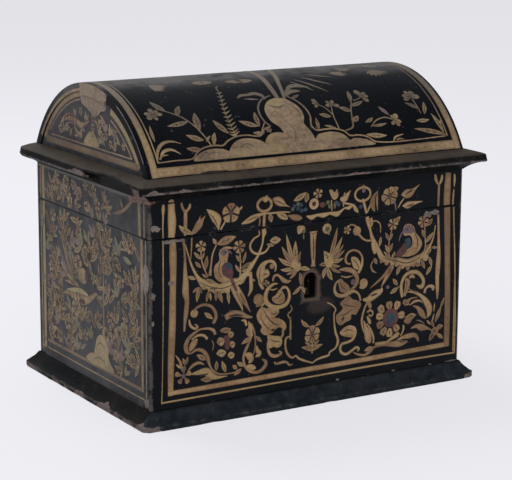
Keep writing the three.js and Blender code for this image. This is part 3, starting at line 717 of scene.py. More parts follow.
# %% A painting and its strokes
class Painting:
    """Shapes by colour. A shape is a list of faces, and a face a list of (across, up, core) points in mm; core is
    1 in the middle of a stroke and 0 at its edges."""

    flat_core = 0.7

    def __init__(self, seed=1):
        self.films = {}
        self.chance = random.Random(seed)

    def add(self, colour, faces):
        kept = []
        for face in faces:
            area = sum(a[0] * b[1] - b[0] * a[1] for a, b in zip(face, [*face[1:], face[0]]))
            if abs(area) > 1e-6:
                kept.append(face if area > 0 else face[::-1])
        self.films.setdefault(colour, []).append(kept)

    def brush(self, *points, colour="gold", steps=5):
        """A stroke through (across, up, width) points."""
        path = smooth(points, steps)
        core = 0.6 if colour == "vein" or max(point[2] for point in path) < 1.3 else 0.0
        sides = []
        for i, (across, height, thick) in enumerate(path):
            a, b = path[max(i - 1, 0)], path[min(i + 1, len(path) - 1)]
            run, lift = b[0] - a[0], b[1] - a[1]
            length = math.hypot(run, lift) or 1
            half = max(thick, 0.12) / 2
            sides.append(((across + lift / length * half, height - run / length * half, core),
                          (across, height, 1.0),
                          (across - lift / length * half, height + run / length * half, core)))
        if core:
            self.add(colour, [[a[0], b[0], b[2], a[2]] for a, b in zip(sides, sides[1:])])
        else:
            self.add(colour, [[a[k], b[k], b[k + 1], a[k + 1]] for a, b in zip(sides, sides[1:]) for k in (0, 1)])

    def band(self, start, end, thick, unsteady):
        """A straight band drawn by hand, so its edges waver a little."""
        run, lift = end[0] - start[0], end[1] - start[1]
        count = max(2, round(math.hypot(run, lift) / 6))
        waves = self.chance.uniform
        self.brush(*((start[0] + run * i / count + waves(-unsteady, unsteady),
                      start[1] + lift * i / count + waves(-unsteady, unsteady),
                      thick * (1 + waves(-unsteady, unsteady))) for i in range(count + 1)), steps=3)

    def leaf(self, base, tip, thick, bend=0.0, vein=True, colour="gold"):
        """A pointed leaf from base to tip; bend moves its middle to the left of that line, in mm."""
        run, lift = tip[0] - base[0], tip[1] - base[1]
        length = math.hypot(run, lift)
        left = (-lift / length, run / length)

        def spot(t, wide):
            aside = bend * 4 * t * (1 - t)
            return base[0] + run * t + left[0] * aside, base[1] + lift * t + left[1] * aside, wide

        self.brush(spot(0, 0.3), spot(0.22, thick * 0.72), spot(0.5, thick), spot(0.78, thick * 0.62), spot(1, 0.15),
                   colour=colour, steps=4)
        if vein and thick > 1.7:
            self.brush(spot(0.12, 0.16), spot(0.45, 0.34), spot(0.78, 0.14), colour="vein", steps=3)
        if vein and thick > 3:
            for side in (-1, 1):
                for t in (0.3, 0.5):
                    a, b = spot(t, 0), spot(t + 0.14, 0)
                    tip = (b[0] + left[0] * side * thick * 0.3, b[1] + left[1] * side * thick * 0.3, 0.12)
                    self.brush((a[0], a[1], 0.22), tip, colour="vein", steps=2)

    def blob(self, *points, colour="gold"):
        self.add(colour, [[(*p, self.flat_core) for p in smooth(points, 4, closed=True)]])

    def disc(self, across, height, radius, colour="gold", sides=12):
        turn = self.chance.uniform(0, 1)
        self.add(colour, [[(*polar((across, height), radius, math.tau * (i + turn) / sides), self.flat_core)
                           for i in range(sides)]])

    def spot(self, across, height, wide, tall):
        """A ragged patch of worn ground."""
        corners = 15
        turns = [math.tau * i / corners for i in range(corners)]
        self.blob(*((across + wide / 2 * math.cos(turn) * self.chance.uniform(0.55, 1.1),
                     height + tall / 2 * math.sin(turn) * self.chance.uniform(0.55, 1.1)) for turn in turns),
                  colour="worn")

    def ring(self, across, height, wide, tall, thick):
        points = [(across + wide * math.cos(a), height + tall * math.sin(a), thick)
                  for a in (math.radians(k) for k in range(0, 361, 30))]
        self.brush(*points, steps=3)

    def curl(self, across, height, outer, inner, start, turn, thick, thin):
        """A scroll: a stroke that winds from outer to inner radius through turn degrees."""
        count = max(4, round(abs(turn) / 40))
        points = []
        for i in range(count + 1):
            t = i / count
            angle, radius = math.radians(start + turn * t), outer + (inner - outer) * t
            points.append((*polar((across, height), radius, angle), thick + (thin - thick) * t))
        self.brush(*points, steps=4)

    def flower(self, across, height, radius, petals, turn=0, centre="red", thick=None, colour="gold"):
        """A round flower with plump petals and a coloured heart."""
        wide = thick or (1.62 if radius > 4 else 1.3) * radius * math.sin(math.pi / petals)
        for i in range(petals):
            angle = math.radians(turn) + math.tau * i / petals
            reach = radius * self.chance.uniform(0.9, 1.06)
            a, b = polar((across, height), radius * 0.22, angle), polar((across, height), reach, angle)
            middle = ((a[0] + b[0]) / 2, (a[1] + b[1]) / 2)
            plump = (middle[0] * 0.4 + b[0] * 0.6, middle[1] * 0.4 + b[1] * 0.6)
            self.brush((*a, 0.5), (*middle, wide * 0.72), (*plump, wide), (*b, wide * 0.45), colour=colour, steps=3)
            if radius > 4:
                self.brush((*a, 0.16), ((middle[0] + b[0]) / 2, (middle[1] + b[1]) / 2, 0.3), colour="vein", steps=2)
        if centre:
            self.disc(across, height, max(radius * 0.24, 0.7), centre)

    def bloom(self, across, height, size, turn, petals=4, spread=220):
        """A loose flower with uneven petals that open from its foot."""
        for i in range(petals):
            angle = math.radians(turn + spread * (i / (petals - 1) - 0.5) + self.chance.uniform(-8, 8))
            long = size * self.chance.uniform(0.72, 1.12)
            wide = long * self.chance.uniform(0.5, 0.66)
            self.brush(*((*polar((across, height), long * t, angle), wide * w)
                         for t, w in ((0, 0.3), (0.4, 0.75), (0.72, 1), (1, 0.45))), steps=3)
            self.brush(*((*polar((across, height), long * t, angle), w)
                         for t, w in ((0.1, 0.4), (0.62, 0.24))), colour="vein", steps=2)

    def sprig(self, points, leaves, size, stem=0.7, flower=0.0, petals=5, side=1):
        """A stem with leaves on alternate sides, and a flower at its end if that has a size."""
        path = smooth([(*p, stem) for p in points], 8)
        self.brush(*((*p, stem * (1.2 - 0.6 * i / len(points))) for i, p in enumerate(points)))
        for i in range(leaves):
            t = (i + 0.6) / (leaves + 0.4)
            k = min(int(t * (len(path) - 1)), len(path) - 2)
            a, b = path[k], path[k + 1]
            angle = math.atan2(b[1] - a[1], b[0] - a[0]) + side * (1 if i % 2 else -1) * self.chance.uniform(0.6, 0.95)
            long = size * self.chance.uniform(0.85, 1.15)
            self.leaf(a[:2], polar(a, long, angle), long * 0.38, bend=self.chance.uniform(-0.5, 0.5))
        if flower:
            self.flower(*points[-1], flower, petals)

    def draw(self, notes):
        """Draws what is noted line after line: a kind, perhaps a colour, and rows of numbers in mm with commas between.
        The name of a colour alone is a brush stroke, and each row is a point of it: across, up and width. A blob has a
        point of its outline in each row. The other kinds are whole in one row. A leaf has its base, tip, width and
        bend, a flower its middle, radius, petals and turn after the colour of its heart."""
        whole = {"disc": self.disc, "spot": self.spot, "ring": self.ring, "curl": self.curl, "bloom": self.bloom}
        for words, numbers in re.findall(r"([a-z ]+) ([-\d., \n]+)", notes):
            kind, *colour = words.split()
            tint = {"colour": colour[0]} if colour else {}
            rows = [[float(n) if "." in n else int(n) for n in row.split()] for row in numbers.split(",")]
            if kind == "blob":
                self.blob(*rows, **tint)
            elif kind == "leaf":
                for row in rows:
                    self.leaf(row[:2], row[2:4], *row[4:], **tint)
            elif kind == "flower":
                for row in rows:
                    self.flower(*row, centre=colour[0])
            elif kind in whole:
                for row in rows:
                    whole[kind](*row, **tint)
            else:
                self.brush(*rows, colour=kind)
        print("shapes so far:", sum(len(shapes) for shapes in self.films.values()))


# %% [markdown]
# ## Colours of the painting
# The gold is powder in varnish: warm, matt, uneven from stroke to stroke, and rubbed through to the black in
# places. The veins are a dark brown line. Small touches of red, blue, green, lilac and cream sit on the flowers
# and birds. All are thin washes of one kind, so one function makes them.


# %% Paints
def make_paint(name, light, dark, rubbed=0.25, metal=0.0, rough=0.5, darkens_to_crown=False, rim=None, patch=None,
               mottled=False):
    """A paint of two mingled tones. rim is the colour of its edges and of thinly loaded strokes, patch that of some
    strokes, or of patches if it is mottled, and a paint that darkens to the crown turns brown near the dome's crown,
    partly worn and partly painted shade."""
    finish = Finish(name, Specular_IOR_Level=0.3)
    cloud, streak, grit = finish.noise(60, 3), finish.noise(420, 3), finish.noise(1500, 3)
    colour = finish.mix((cloud * 0.7 + streak * 0.6).step(0.42, 0.84), light, dark)
    if mottled:
        level = finish.noise(90, 4, stretch=(0.5, 1, 1))
        colour = finish.mix((level + cloud * 0.6).step(0.76, 0.98) * 0.55, colour, patch)
        colour = finish.mix(finish.noise(340, 3, stretch=(0.2, 1, 1)).step(0.54, 0.7) * 0.5, colour, rim)
    elif rim:
        core, load = (finish.node("ShaderNodeAttribute", {"attribute_name": kind})["Fac"] for kind in ("core", "load"))
        colour = finish.mix(load.step(0.4, 0.15) * 0.38, colour, patch)
        colour = finish.mix((load + cloud * 0.5).step(0.72, 1.3) * 0.6, colour, rim)
        colour = finish.mix((core + (streak - 0.5) * 0.7).step(0.5, 0.05) * 0.62, colour, rim)
    gone = (grit * 0.55 + streak * 0.35 + cloud * 0.35).step(0.74, 0.8) * rubbed * 3
    # partly wear and partly painted shade: the gold turns dull brown towards the dome's crown
    if darkens_to_crown:
        colour = finish.mix((finish.z + streak * 14).step(crown - 26, crown - 2) * 0.8, colour, (74, 67, 60))
    colour = finish.mix(gone.smaller(0.85), colour, (40, 34, 30))
    return finish.give(Base_Color=colour, Metallic=gone * -metal + metal if metal else 0.0,
                       Roughness=rough + streak * 0.2, Normal=finish.bump(streak + grit * 0.4, 0.00005, 0.5))


paints = {
    "side gold": make_paint("duller gold powder of the sides and ends", (146, 126, 98), (108, 91, 70), 0.4, 0.1, 0.55,
                            rim=(88, 74, 62), patch=(140, 130, 94)),
    "dome gold": make_paint("gold powder of the dome", (156, 132, 100), (120, 98, 69), 0.3, 0.15, 0.5, True,
                            rim=(96, 76, 56), patch=(150, 132, 92)),
    "hill": make_paint("mottled gold of the hills", (140, 119, 94), (100, 82, 64), 0.35, 0.15, 0.5,
                       rim=(84, 68, 54), patch=(146, 130, 88), mottled=True),
    "rose": make_paint("pinkish brown wash", (116, 98, 88), (88, 72, 66), 0.4),
    "olive": make_paint("olive wash", (112, 105, 84), (84, 80, 62), 0.4),
    "filler": make_paint("brown filling", (128, 112, 92), (102, 88, 72), 0.2),
    "worn": make_paint("worn ground", (118, 106, 96), (84, 76, 70), 0.3),
    "gold": make_paint("gold powder", (163, 134, 98), (128, 99, 67), 0.3, 0.2, 0.45,
                       rim=(94, 70, 50), patch=(158, 140, 92)),
    "vein": make_paint("dark brown line", (44, 30, 25), (30, 23, 22), 0.1),
    "red": make_paint("dull red wash", (88, 52, 46), (62, 38, 40), 0.2),
    "blue": make_paint("dull blue wash", (48, 62, 72), (32, 42, 52), 0.2),
    "green": make_paint("dull green wash", (84, 88, 58), (56, 64, 44), 0.2),
    "lilac": make_paint("lilac wash", (112, 94, 92), (78, 62, 66), 0.2),
    "cream": make_paint("cream wash", (150, 142, 112), (124, 112, 82), 0.2),
}
film_height = {"gold": 0.05, "hill": 0.07, "rose": 0.06, "olive": 0.07, "worn": 0.19, "filler": 0.18, "cream": 0.1,
               "red": 0.12, "blue": 0.155, "green": 0.12, "lilac": 0.12, "vein": 0.15}
print("paints:", ", ".join(paints))

# %% [markdown]
# ## Laying a painting on the wood
# A painting is drawn flat. Its mesh is cut into narrow strips where the surface is round, so that the film can
# follow it, and the place function then moves every point to its spot on the wood, in metres.


# %% Laying
film_step, film_steps = 0.0015, 20
film_bed = 0.02


def flat_film(name, colour, shapes):
    """The strokes of one colour, flat, in mm. Each lies a hair above the last, so that no two are level where they
    cross, and every point keeps its core, and a load that tells how full the brush was."""
    points, faces, cores, loads = [], [], [], []
    for number, shape in enumerate(shapes):
        height = film_height[colour] + (number % film_steps) * film_step
        load = (number * 0.618 + 0.5) % 1
        index = {}
        for face in shape:
            row = []
            for across, lift, core in face:
                key = (round(across, 4), round(lift, 4))
                if key not in index:
                    index[key] = len(points)
                    points.append((across, lift, height))
                    cores.append(core)
                    loads.append(load)
                if index[key] not in row:
                    row.append(index[key])
            if len(row) > 2:
                faces.append(row)
    mesh = bpy.data.meshes.new(f"{name}_{colour}")
    mesh.from_pydata(points, [], faces)
    for kind, values in (("core", cores), ("load", loads)):
        mesh.attributes.new(kind, "FLOAT", "POINT").data.foreach_set("value", values)
    film = bpy.data.objects.new(f"{name}_{colour}", mesh)
    bpy.context.scene.collection.objects.link(film)
    return film


def cut_in_strips(film, tall):
    """Cuts the film across, at every multiple of that height."""
    heights = [vertex.co.y for vertex in film.data.vertices]
    edit_all()
    bpy.ops.mesh.quads_convert_to_tris()
    cut = math.floor(min(heights) / tall) + 1
    while cut * tall < max(heights):
        bpy.ops.mesh.select_all(action="SELECT")
        bpy.ops.mesh.bisect(plane_co=(0, cut * tall, 0), plane_no=(0, 1, 0))
        cut += 1
    bpy.ops.object.mode_set(mode="OBJECT")


def lay(painting, name, place, body, strips=None, gold="gold"):
    """One piece for each colour. strips is the height of the strips in mm, for a surface that bends upwards, and
    gold is the paint to use for gold."""
    for colour, shapes in painting.films.items():
        clear_selection()
        film = flat_film(name, colour, shapes)
        bpy.context.view_layer.objects.active = film
        film.select_set(True)
        if strips:
            cut_in_strips(film, strips)
        solid = film.modifiers.new("film", "SOLIDIFY")
        solid.thickness, solid.offset, solid.use_even_offset = 10, -1, False
        bpy.ops.object.modifier_apply(modifier=solid.name)
        for vertex in film.data.vertices:
            vertex.co = place(vertex.co.x, vertex.co.y, vertex.co.z if vertex.co.z > 0 else -film_bed)
        bpy.ops.object.shade_smooth_by_angle(angle=math.radians(30))
        film.data.materials.append(paints[gold if colour == "gold" else colour])
        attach(film, body)
        print(f"{film.name}: {len(shapes)} strokes, {len(film.data.polygons)} faces")


def on_face(right, outwards, distance):
    """The function that puts a flat painting on an upright face: which way its right and its front point, and how
    far from the casket's middle it lies."""
    def place(across, lift, out):
        x, y = (a * across + b * (distance + out) for a, b in zip(right, outwards))
        return Vector((x, y, lift)) * mm
    return place


on_front, on_back = on_face((1, 0), (0, -1), half_depth), on_face((-1, 0), (0, 1), half_depth)
on_left, on_right = on_face((0, -1), (-1, 0), half_width), on_face((0, 1), (1, 0), half_width)
on_left_panel, on_right_panel = on_face((0, -1), (-1, 0), panel_face), on_face((0, 1), (1, 0), panel_face)
on_stave_ends = on_face((0, -1), (-1, 0), dome_half_width)


def on_dome(across, along, out):
    """along is measured over the dome from its front foot."""
    angle, radius = (along - dome_arc / 2) / dome_radius, dome_radius - paint_room + out
    return Vector((across, radius * math.sin(angle), dome_axis + radius * math.cos(angle))) * mm


# %% [markdown]
# ## The front of the box
# Three bands frame the panel. Inside them two branches hang down from the seam, each with a bird on it, and
# scrolling leaves fill the rest round the keyhole.

# %% Bands of the front
front = Painting(3)
front.draw("""
gold -102.6 14 .7, -102 30 .36, -101.4 60 .55, -101.2 85 .7, -101.1 109.8 .9
gold -103 14.2 1.1, -60 14.6 1.2, 0 15.2 1.1, 50 15.7 1.4, 107 15.4 1.1
gold -96.8 17.6 3.4, -96.3 40 4.3, -95.4 60 4.5, -95 80 4.1, -94.7 90 4.1, -94.8 100 4.8, -94.8 109.8 3.7
gold -98.4 19.2 2.8, -60 19.4 3, -10 20.1 3.1, 30 20.4 3.1, 70 21.2 3.1, 102 21.8 3.1
gold 100.5 20.4 4.2, 100.5 45 4.3, 100.1 60 4.2, 99.4 80 4.2, 98.7 100 4.6, 98.3 109.8 4.6
gold 106.9 15 .9, 106.8 40 .9, 106 60 .9, 105.1 80 .9, 103.8 100 1, 103.3 109.6 1.1
gold 105.7 16.5 .7, 105.7 40 .7, 105.4 62 .3
gold -88 109.3 1.8, -87.1 100 1.4, -86.9 90 2.5, -86.6 84 3.8, -86.7 78 4.4, -85.8 73 3, -86.4 66 3, -87.2 60 1.9,
  -87.6 55 1.2
gold 91.6 106 1.4, 92 98 1.7, 92.4 90 1.9, 92.7 82 2.8, 92.4 74 3.6, 92 66 3, 92.4 58 2.4, 92.4 52 1
""")

# %% Branches, birds and their leaves
front.draw("""
gold -86.8 106 .8, -84.3 98 1, -82.5 93 1.4, -80 88 1.8, -77.6 84.6 3, -74.6 81.6 5.4, -71.4 80 4.2, -68 78.8 6.2,
  -64.4 78 4.8, -60.8 78 6.8, -57 79 4.6, -53.8 79.8 5.8, -51 80.8 3.8, -48.6 82.6 4.8, -46.2 84.6 3.2, -43 88.5 3.2,
  -39.6 92.5 1.8, -37.4 96 1.6, -35.4 101 1.2, -34.8 105 1.6, -34.2 107.5 3.2, -34.6 109.8 2.6
disc -74.6 79.2 1.2, -71 77.6 1, -67.2 76.1 1.4, -62.6 75.6 1.1, -58.8 75.4 1.5, -54.6 77.2 1.2, -50.2 79.4 1.1,
  -45 83.6 1
gold -82.5 109.6 .9, -82.8 103 .8, -83.2 97 .4
gold -37.8 109.3 .7, -37.6 106.5 .9, -41 104.8 1.2, -43.6 101.5 1.4, -43 98 1.5, -40 95.7 1.5, -36.5 95.3 1.5,
  -33 96.3 1.3, -30.6 99.2 1
leaf -32.4 100.4 -27.4 99 2.2, -30.2 102.2 -22.6 102.2 4.8, -85 87 -80 85 2.4, -78.2 80 -82 77.3 1.8,
  -78 80 -79.4 71.2 2.6, -77.8 80 -76 76.2 1.8, -71.6 77 -73 70.4 2, -70.5 76 -70 71 1.5, -66.5 76 -66.6 70.4 2.2,
  -65 76 -62.2 68.8 2.6, -58.8 76 -57.8 67.6 2.2, -55.5 77 -54 71 1.6
gold -43.4 85 2, -43 79 2.4, -43 74.5 2.4, -45 70.5 .6
leaf -42 80.5 -40.2 79.2 1.4
""")

# %% The upright sprigs of the left half
front.draw("""
gold -76.4 102 .8, -76.3 97 .9, -74.6 91 .8, -71.8 85.5 .7
leaf -76.6 96.3 -81.2 101 2.2, -76 96 -74.2 100.4 1.5, -76.6 91.4 -80.4 95.3 2.2, -73.6 89.6 -72.5 98 2.8,
  -72.4 85 -76 87.6 1.6, -67.4 81.8 -73 84.2 1.8, -66 104 -53.2 107.4 5.2, -66.4 104 -68.6 107.8 2.4,
  -61.6 101.8 -55 100.6 1.6, -49.3 91.3 -53.4 96.2 2.4, -48.4 91 -46.4 97.6 1.9, -50 87.8 -42.6 91 2.2,
  -50.6 85.8 -53.8 90.6 2, -49.6 86 -45.2 87 2
flower red -76.4 104 3.4 5 20, -51 101 4 6 10
gold -66.4 103.6 .8, -68.8 98.6 1, -69.9 92 1.2, -70.6 86 2.2
gold -50.6 97.6 .7, -50.2 91 .7, -50.4 84 .8
disc -49.6 81.2 2.6
""")

# %% The left bird
front.draw("""
blob -61.8 101.6, -58.6 99.8, -58.4 96.6, -59 92.6, -56.8 88, -56.4 83.4, -60.5 80.8, -65.4 82.4, -67.8 86.4,
  -67.4 91.4, -64.4 94.4, -64.6 99
lilac -59.6 99.8 1.6, -57.2 98.6 1, -56.2 97 .3
blob lilac -61.9 100.9, -59.4 99.2, -59.8 97.4, -62.8 97, -64 98.6
disc vein -60.4 98.8 .5
blob red -61.8 91.6, -59 92.6, -56.2 90, -55 85.6, -57 82.6, -61.6 85.2, -62.8 88.6
blob blue -60.4 92, -57.6 92.4, -55.4 89.4, -57.4 88, -60 89.4
gold -57.6 84.4 3, -55.4 77.6 3.4, -51.8 70.2 3.2, -49.4 65 1.6, -48.6 62 .3
gold -55.6 80 2.4, -52 75.6 3.2, -48.4 69.6 3.4, -45.4 64.4 1.6, -43.2 60.8 .3
red -56.6 83 2, -54.4 78 2.2, -52.6 74.6 1.4
vein -53.4 74 .3, -51 69.4 .4, -49 64.6 .2
vein -50.6 73 .3, -48 68.6 .4, -45 63.6 .2
vein -63.6 93.4 .3, -64.8 89 .4, -63.2 84 .3
""")
# its branch's veins
front.draw("""
vein -77.6 83 .3, -72 80 .45, -64 77.6 .5, -57 78.4 .4, -50 81 .3
vein -70.6 78.4 .6, -68 77.8 .5, -65.4 78.6 .3
""")

# %% The right branch
front.draw("""
gold 38.4 109.8 2.6, 39.4 106 2.8, 41 101 1.7, 42.4 96.4 2.6, 45 91.4 3.6, 47.6 87 3.4, 50.6 82.6 4, 56.6 80.6 3.2,
  62 79.8 4.4, 69 77.6 5.4, 75.6 79.4 4.4, 81.6 82 3.2, 85.6 86.4 1.7, 88.3 92 1, 89.6 99.4 .8
disc 49.4 81 1.2, 53.4 79.4 1.4, 57.4 78.6 1, 61 77.6 1.4, 65.4 75.6 1.2, 69.4 74.6 1.5, 73.6 75.8 1.1, 77.6 77.8 1.3
gold 43.3 81.9 .5, 41.9 79.1 1, 43.3 75.7 1.1, 46 74.3 .4
gold 41.2 108.8 2, 42 105.4 1.8, 41.2 103 .6
gold 43 93.6 3, 44 89.6 3.4, 44.6 86.2 1.6
""")

# %% Flowers and leaves round the right branch
front.draw("""
disc 31.2 101.8 2.9
gold 32.4 99.8 1.6, 35.6 96.6 1.3, 39 95 1.2, 42.6 95 1.4
gold 24.6 104.8 .8, 27 106.1 1, 30 105 1, 32 103.4 1.2
flower lilac 24.2 103.2 2.6 5
gold 42.4 106.8 .9, 45.8 106.3 .9, 48.2 103.8 .8, 48.4 99 .5
disc 9.6 105.4 3.2
disc green 9.9 105.2 1.5
leaf 10.6 103 11.6 101.4 1.4
blob -11.4 108.4, -9.6 109.2, -6.6 108.6, -5.8 106, -8.4 104.8, -10.8 104.4
disc green -6.8 105.6 1.3
leaf green -7 104 -6.8 100.6 1.2
leaf 48 90.6 48.8 96.4 2.2, 44 83.6 46.4 79.6 2.6, 58.4 103.6 63 107.6 3.2, 55 93.2 52.1 98.7 2.2,
  55 93.2 57.6 97.6 1.9, 54.9 85.6 52.1 91 2.2, 54.9 85.6 57.6 91.4 2.2, 56 81.6 51.2 87 1.8, 57 81.4 59.4 86 1.9,
  82 92.4 79.4 97.8 2.8, 82.4 89 88.4 95.2 2.8, 81.6 85.4 86.6 88 1.8, 84.6 81.6 86.6 86.6 2.6, 87.4 85.6 91.4 85 1.8,
  83 99.6 87.4 103.8 3.2, 85.6 79.6 87.6 73.8 2.6, 87.6 74.2 83.4 68.4 2.6, 79.4 78.4 82.4 72.6 2.6,
  63.6 76.6 61 71 2.8, 56.6 78 54.6 70 3.4, 74.6 77 79 75.2 3.2
disc 82.6 79.8 2.4
gold 81.4 99.6 .7, 82 93 .8, 82 85 .8, 78 81.6 .8
flower red 80.2 102.6 4 6 12, 57.6 103.2 3.6 6 5
gold 56.8 99.6 .7, 55 93 .7, 54.9 86 .7, 56.6 81 .8
""")

# %% The right bird
front.draw("""
blob 65.6 100.6, 69 102.4, 73 100.4, 75 96, 79 91.4, 79.4 87.4, 75.6 83, 69 81.8, 62.6 83, 66 85.6, 71.4 87.6,
  72.4 91.6, 70.4 95, 66 95.4
blob lilac 65.8 100, 69 101.8, 72.6 100, 73.4 97, 69.6 96, 66.2 96.8
disc vein 68.4 98.9 .6
lilac 65.8 98.4 1.4, 63.4 95.6 1.2, 62.2 92 .3
blob red 59.4 83.6, 63 87.4, 66.6 90.6, 68.6 88.6, 67.6 84.6, 63.6 82.4
blob blue 66.6 92.4, 70 93.6, 71.4 90, 69.6 86.8, 68 88.6
gold 60.6 81.4 3.4, 56 76 2.8, 50.6 71 1.8, 45.6 67.6 1.2, 41.4 65 .3
gold 58 77 2.6, 54.6 72 2.8, 51.6 67.8 1.8, 49.6 64.6 .3
vein 72.6 99 .3, 76 92 .5, 76 86 .4
vein 50.6 83 .3, 60 80.2 .5, 69 77.8 .5, 78 80 .3
""")

# %% A fan of leaves on each side of the keyhole, and an upright stalk
front.draw("""
leaf -13 86 -18.8 105 3 .6, -13.6 86 -22 98 3 .6, -14 85.4 -24.2 91.4 3 .6, -13.6 84 -22.8 84 2.6 .6,
  -12 83.6 -18.6 80.6 2 .6, -11.4 87 -12.4 100.4 3.4 .6, -10 86 -8.8 93.6 2 .6, -11 83.4 -16.4 77.8 2 .6,
  -10 83 -2 81.6 2.8 .6, -9.4 80.6 -8.6 73 3 .6, -8.6 72.6 -14.4 68 2.4 .6, -8.8 72 -5.6 67.4 2 .6,
  11 85.6 17 105.4 3 -.6, 12 85.6 20.6 99.4 2.8 -.6, 12.4 85.4 21.8 94.6 2.2 -.6, 12.6 85 22.4 91 1.8 -.6,
  13 84.6 21.8 86.2 2.4 -.6, 12.6 83.6 19.4 81.4 2 -.6, 11 85 7.4 92 4 -.6, 10 83 4.4 83.6 2.6 -.6,
  9.6 82 7.4 75 3 -.6, 10.6 81.4 14 73.4 3.4 -.6, 12 82 20 77.4 2 -.6
blob -15.6 88, -12 89.4, -9 86.6, -9 82.6, -13 81.4, -15.6 84.4
blob 8 89, 11 90.4, 14.4 87.6, 14 82.6, 10.4 81.4, 8.4 84.6
gold 0 104.8 6, 0 103 4.6, -.2 98 3.8, 0 91 3.2, .2 86 2.4, 0 83.4 3.6
vein -.2 103 .3, .2 95 .7, .2 87 .3
red -3 104.4 .4, 0 103.6 .5, 3 104.6 .4
""")

# %% The upper scrolls
front.draw("""
gold -26.6 83.4 .9, -26 86.6 1.4, -28 89.4 1.9, -31.6 90 2, -35 88 3.8, -36.2 84 6.4, -36.2 80 4.6, -36.6 77 2.4,
  -34.6 73.6 1.8
disc -28.6 86.8 1.7
gold -33.4 84.4 4, -32 82.4 3.6, -34.6 80.6 2
vein -36.6 87 .3, -37.2 82 .5, -36.6 77.6 .3
flower lilac -32.6 77 2 4
gold 27 81.8 1, 24 83 1.4, 23.3 86 1.6, 25 89 1.5, 28.6 90.2 1.4, 32.4 89 1.4, 35 86 1.4, 35.4 82 1.8, 34.4 78.6 2.2,
  32.6 75.6 2
blob 27.4 86, 31 85.6, 33.4 83, 34.2 79.6, 32.2 77.8, 29.6 79, 28 82
vein 28.6 84.4 .3, 31.6 81.6 .5, 33 78.4 .3
gold -28 77.6 1, -27.4 80.2 1.6, -25.2 81.2 1.4, -22.8 79.6 1.8, -20.6 77.4 2.8, -17.6 76.2 2, -15.4 76.8 .5
gold -17.6 72.6 .4, -18.4 72.8 1.4, -21 73 1.8, -23 71 .8
gold -18.6 73 1.2, -16.8 70 1.8, -16.6 66 2.2, -18.8 62.6 2.6, -23.4 61.4 2.6, -28.6 62.4 2.8, -32.2 65.4 3,
  -33 69.4 2.8, -31.4 73.4 2.4, -27.6 75.8 1.6, -24.6 75.8 .5
blob -28.4 67.6, -25.6 69.4, -23.6 72, -21.6 71, -19.6 67.4, -20 64.2, -24 63.4, -27.6 65
gold -30.6 73.4 .5, -28 72.4 .8, -25 73 .4
vein -27 66.6 .3, -24 67.4 .5, -21.6 70 .3
curl -38.4 67.8 3.6 1.4 250 400 2.2 1.6
disc -38.6 67.4 2.6
gold -36 63.4 .8, -34.4 64.6 1.6, -33 66 1
gold 18.6 79.2 .6, 23 79 2.6, 28 77.6 3, 31 74.6 3, 32 71 2.6, 30.6 67.8 2, 27.4 65.8 1.6
gold 20 75.2 .5, 24 74 1, 28.6 74.4 .5
disc lilac 29 70.4 1.8
curl 36.4 69 3.4 1.2 220 330 1.5 1.5
disc 36.4 69 2.7
gold 19 73 .8, 16.4 71 1.3, 15.6 67 2, 17.6 63.8 2.4, 22 62.8 2.4, 26 64 3, 30 64.6 1.8, 33.4 62 1.4, 34.6 58 1.6
blob 18 71.8, 20 73.6, 22.4 71.4, 25.6 68.8, 26.6 65.8, 23 64.6, 19.6 65.8, 18.6 69
vein 19.6 71 .3, 21.4 68 .5, 24.6 65.8 .3
""")

# %% Acanthus on the left
front.draw("""
blob -38.6 60, -35.6 63, -32 61.6, -28.6 62.4, -24 60.4, -24 57.4, -26.8 55.6, -23.4 54.4, -19.6 51.8, -18.4 48.4,
  -20.4 46.4, -22.4 49, -25.4 48.4, -27.4 46.6, -31 45.4, -34 45.8, -36.4 48.6, -35.4 51, -38 54.6, -39 57.4
blob -31.4 45.4, -27 44.2, -23 43.4, -21.2 40.6, -22.2 37.4, -25 36.6, -27.4 37.6, -30 37, -30.8 40.4
gold -21 47 1.6, -20.8 44 1.6, -23 42 1.8
gold -31.2 42 1, -31.2 37.6 1.6, -29.8 33.6 2, -27 31.8 2.2, -24 31.8 1.8, -21.8 33 1.4, -23.4 34.4 .8
vein -34 60.4 .3, -31.4 56 .6, -27 51.6 .7, -23.4 50.2 .3
vein -36.4 57.4 .3, -33.6 52 .5, -29.6 48 .3
vein -28.8 47.6 1.4, -27.4 48 1.6, -26.6 47 .8
vein -29.4 58.6 .3, -27 57.4 .5, -24.8 57.8 .3
vein -29.4 42.4 .3, -26 40.6 .6, -23 40.4 .3
""")

# %% Acanthus on the right
front.draw("""
blob 19.8 58, 22.6 60.6, 25.8 62.2, 28.8 59.8, 32.6 58.4, 35.2 56, 33.6 52.8, 31.4 49.8, 28.2 50.4, 27.6 47.2, 24 46,
  20.4 44.4, 17.6 46.8, 17 51, 20 53, 21.8 55.2
blob 19.8 40, 23 42.6, 27 43.6, 31 42, 32.2 38.4, 30.2 35.8, 26 36.4, 22 37.6
gold 31 38 2.6, 29.4 34.6 2, 25.6 33.2 1.8, 21.6 32.6 1.8, 20.2 29.8 1.8, 21.6 27 1.8, 25 25.8 1.8, 29 27.6 1.8,
  32 29 1.8, 34 28 1.5, 33 26.4 .8
vein 22 57.6 .3, 26 56 .6, 31.6 54.6 .3
vein 20 50.6 .3, 24 51 .6, 28.6 53.6 .3
vein 21.2 47.4 1.4, 22 48.4 1.5, 22.6 49.6 .5
vein 22.6 40 .3, 26.4 41 .5, 30 39 .3
""")

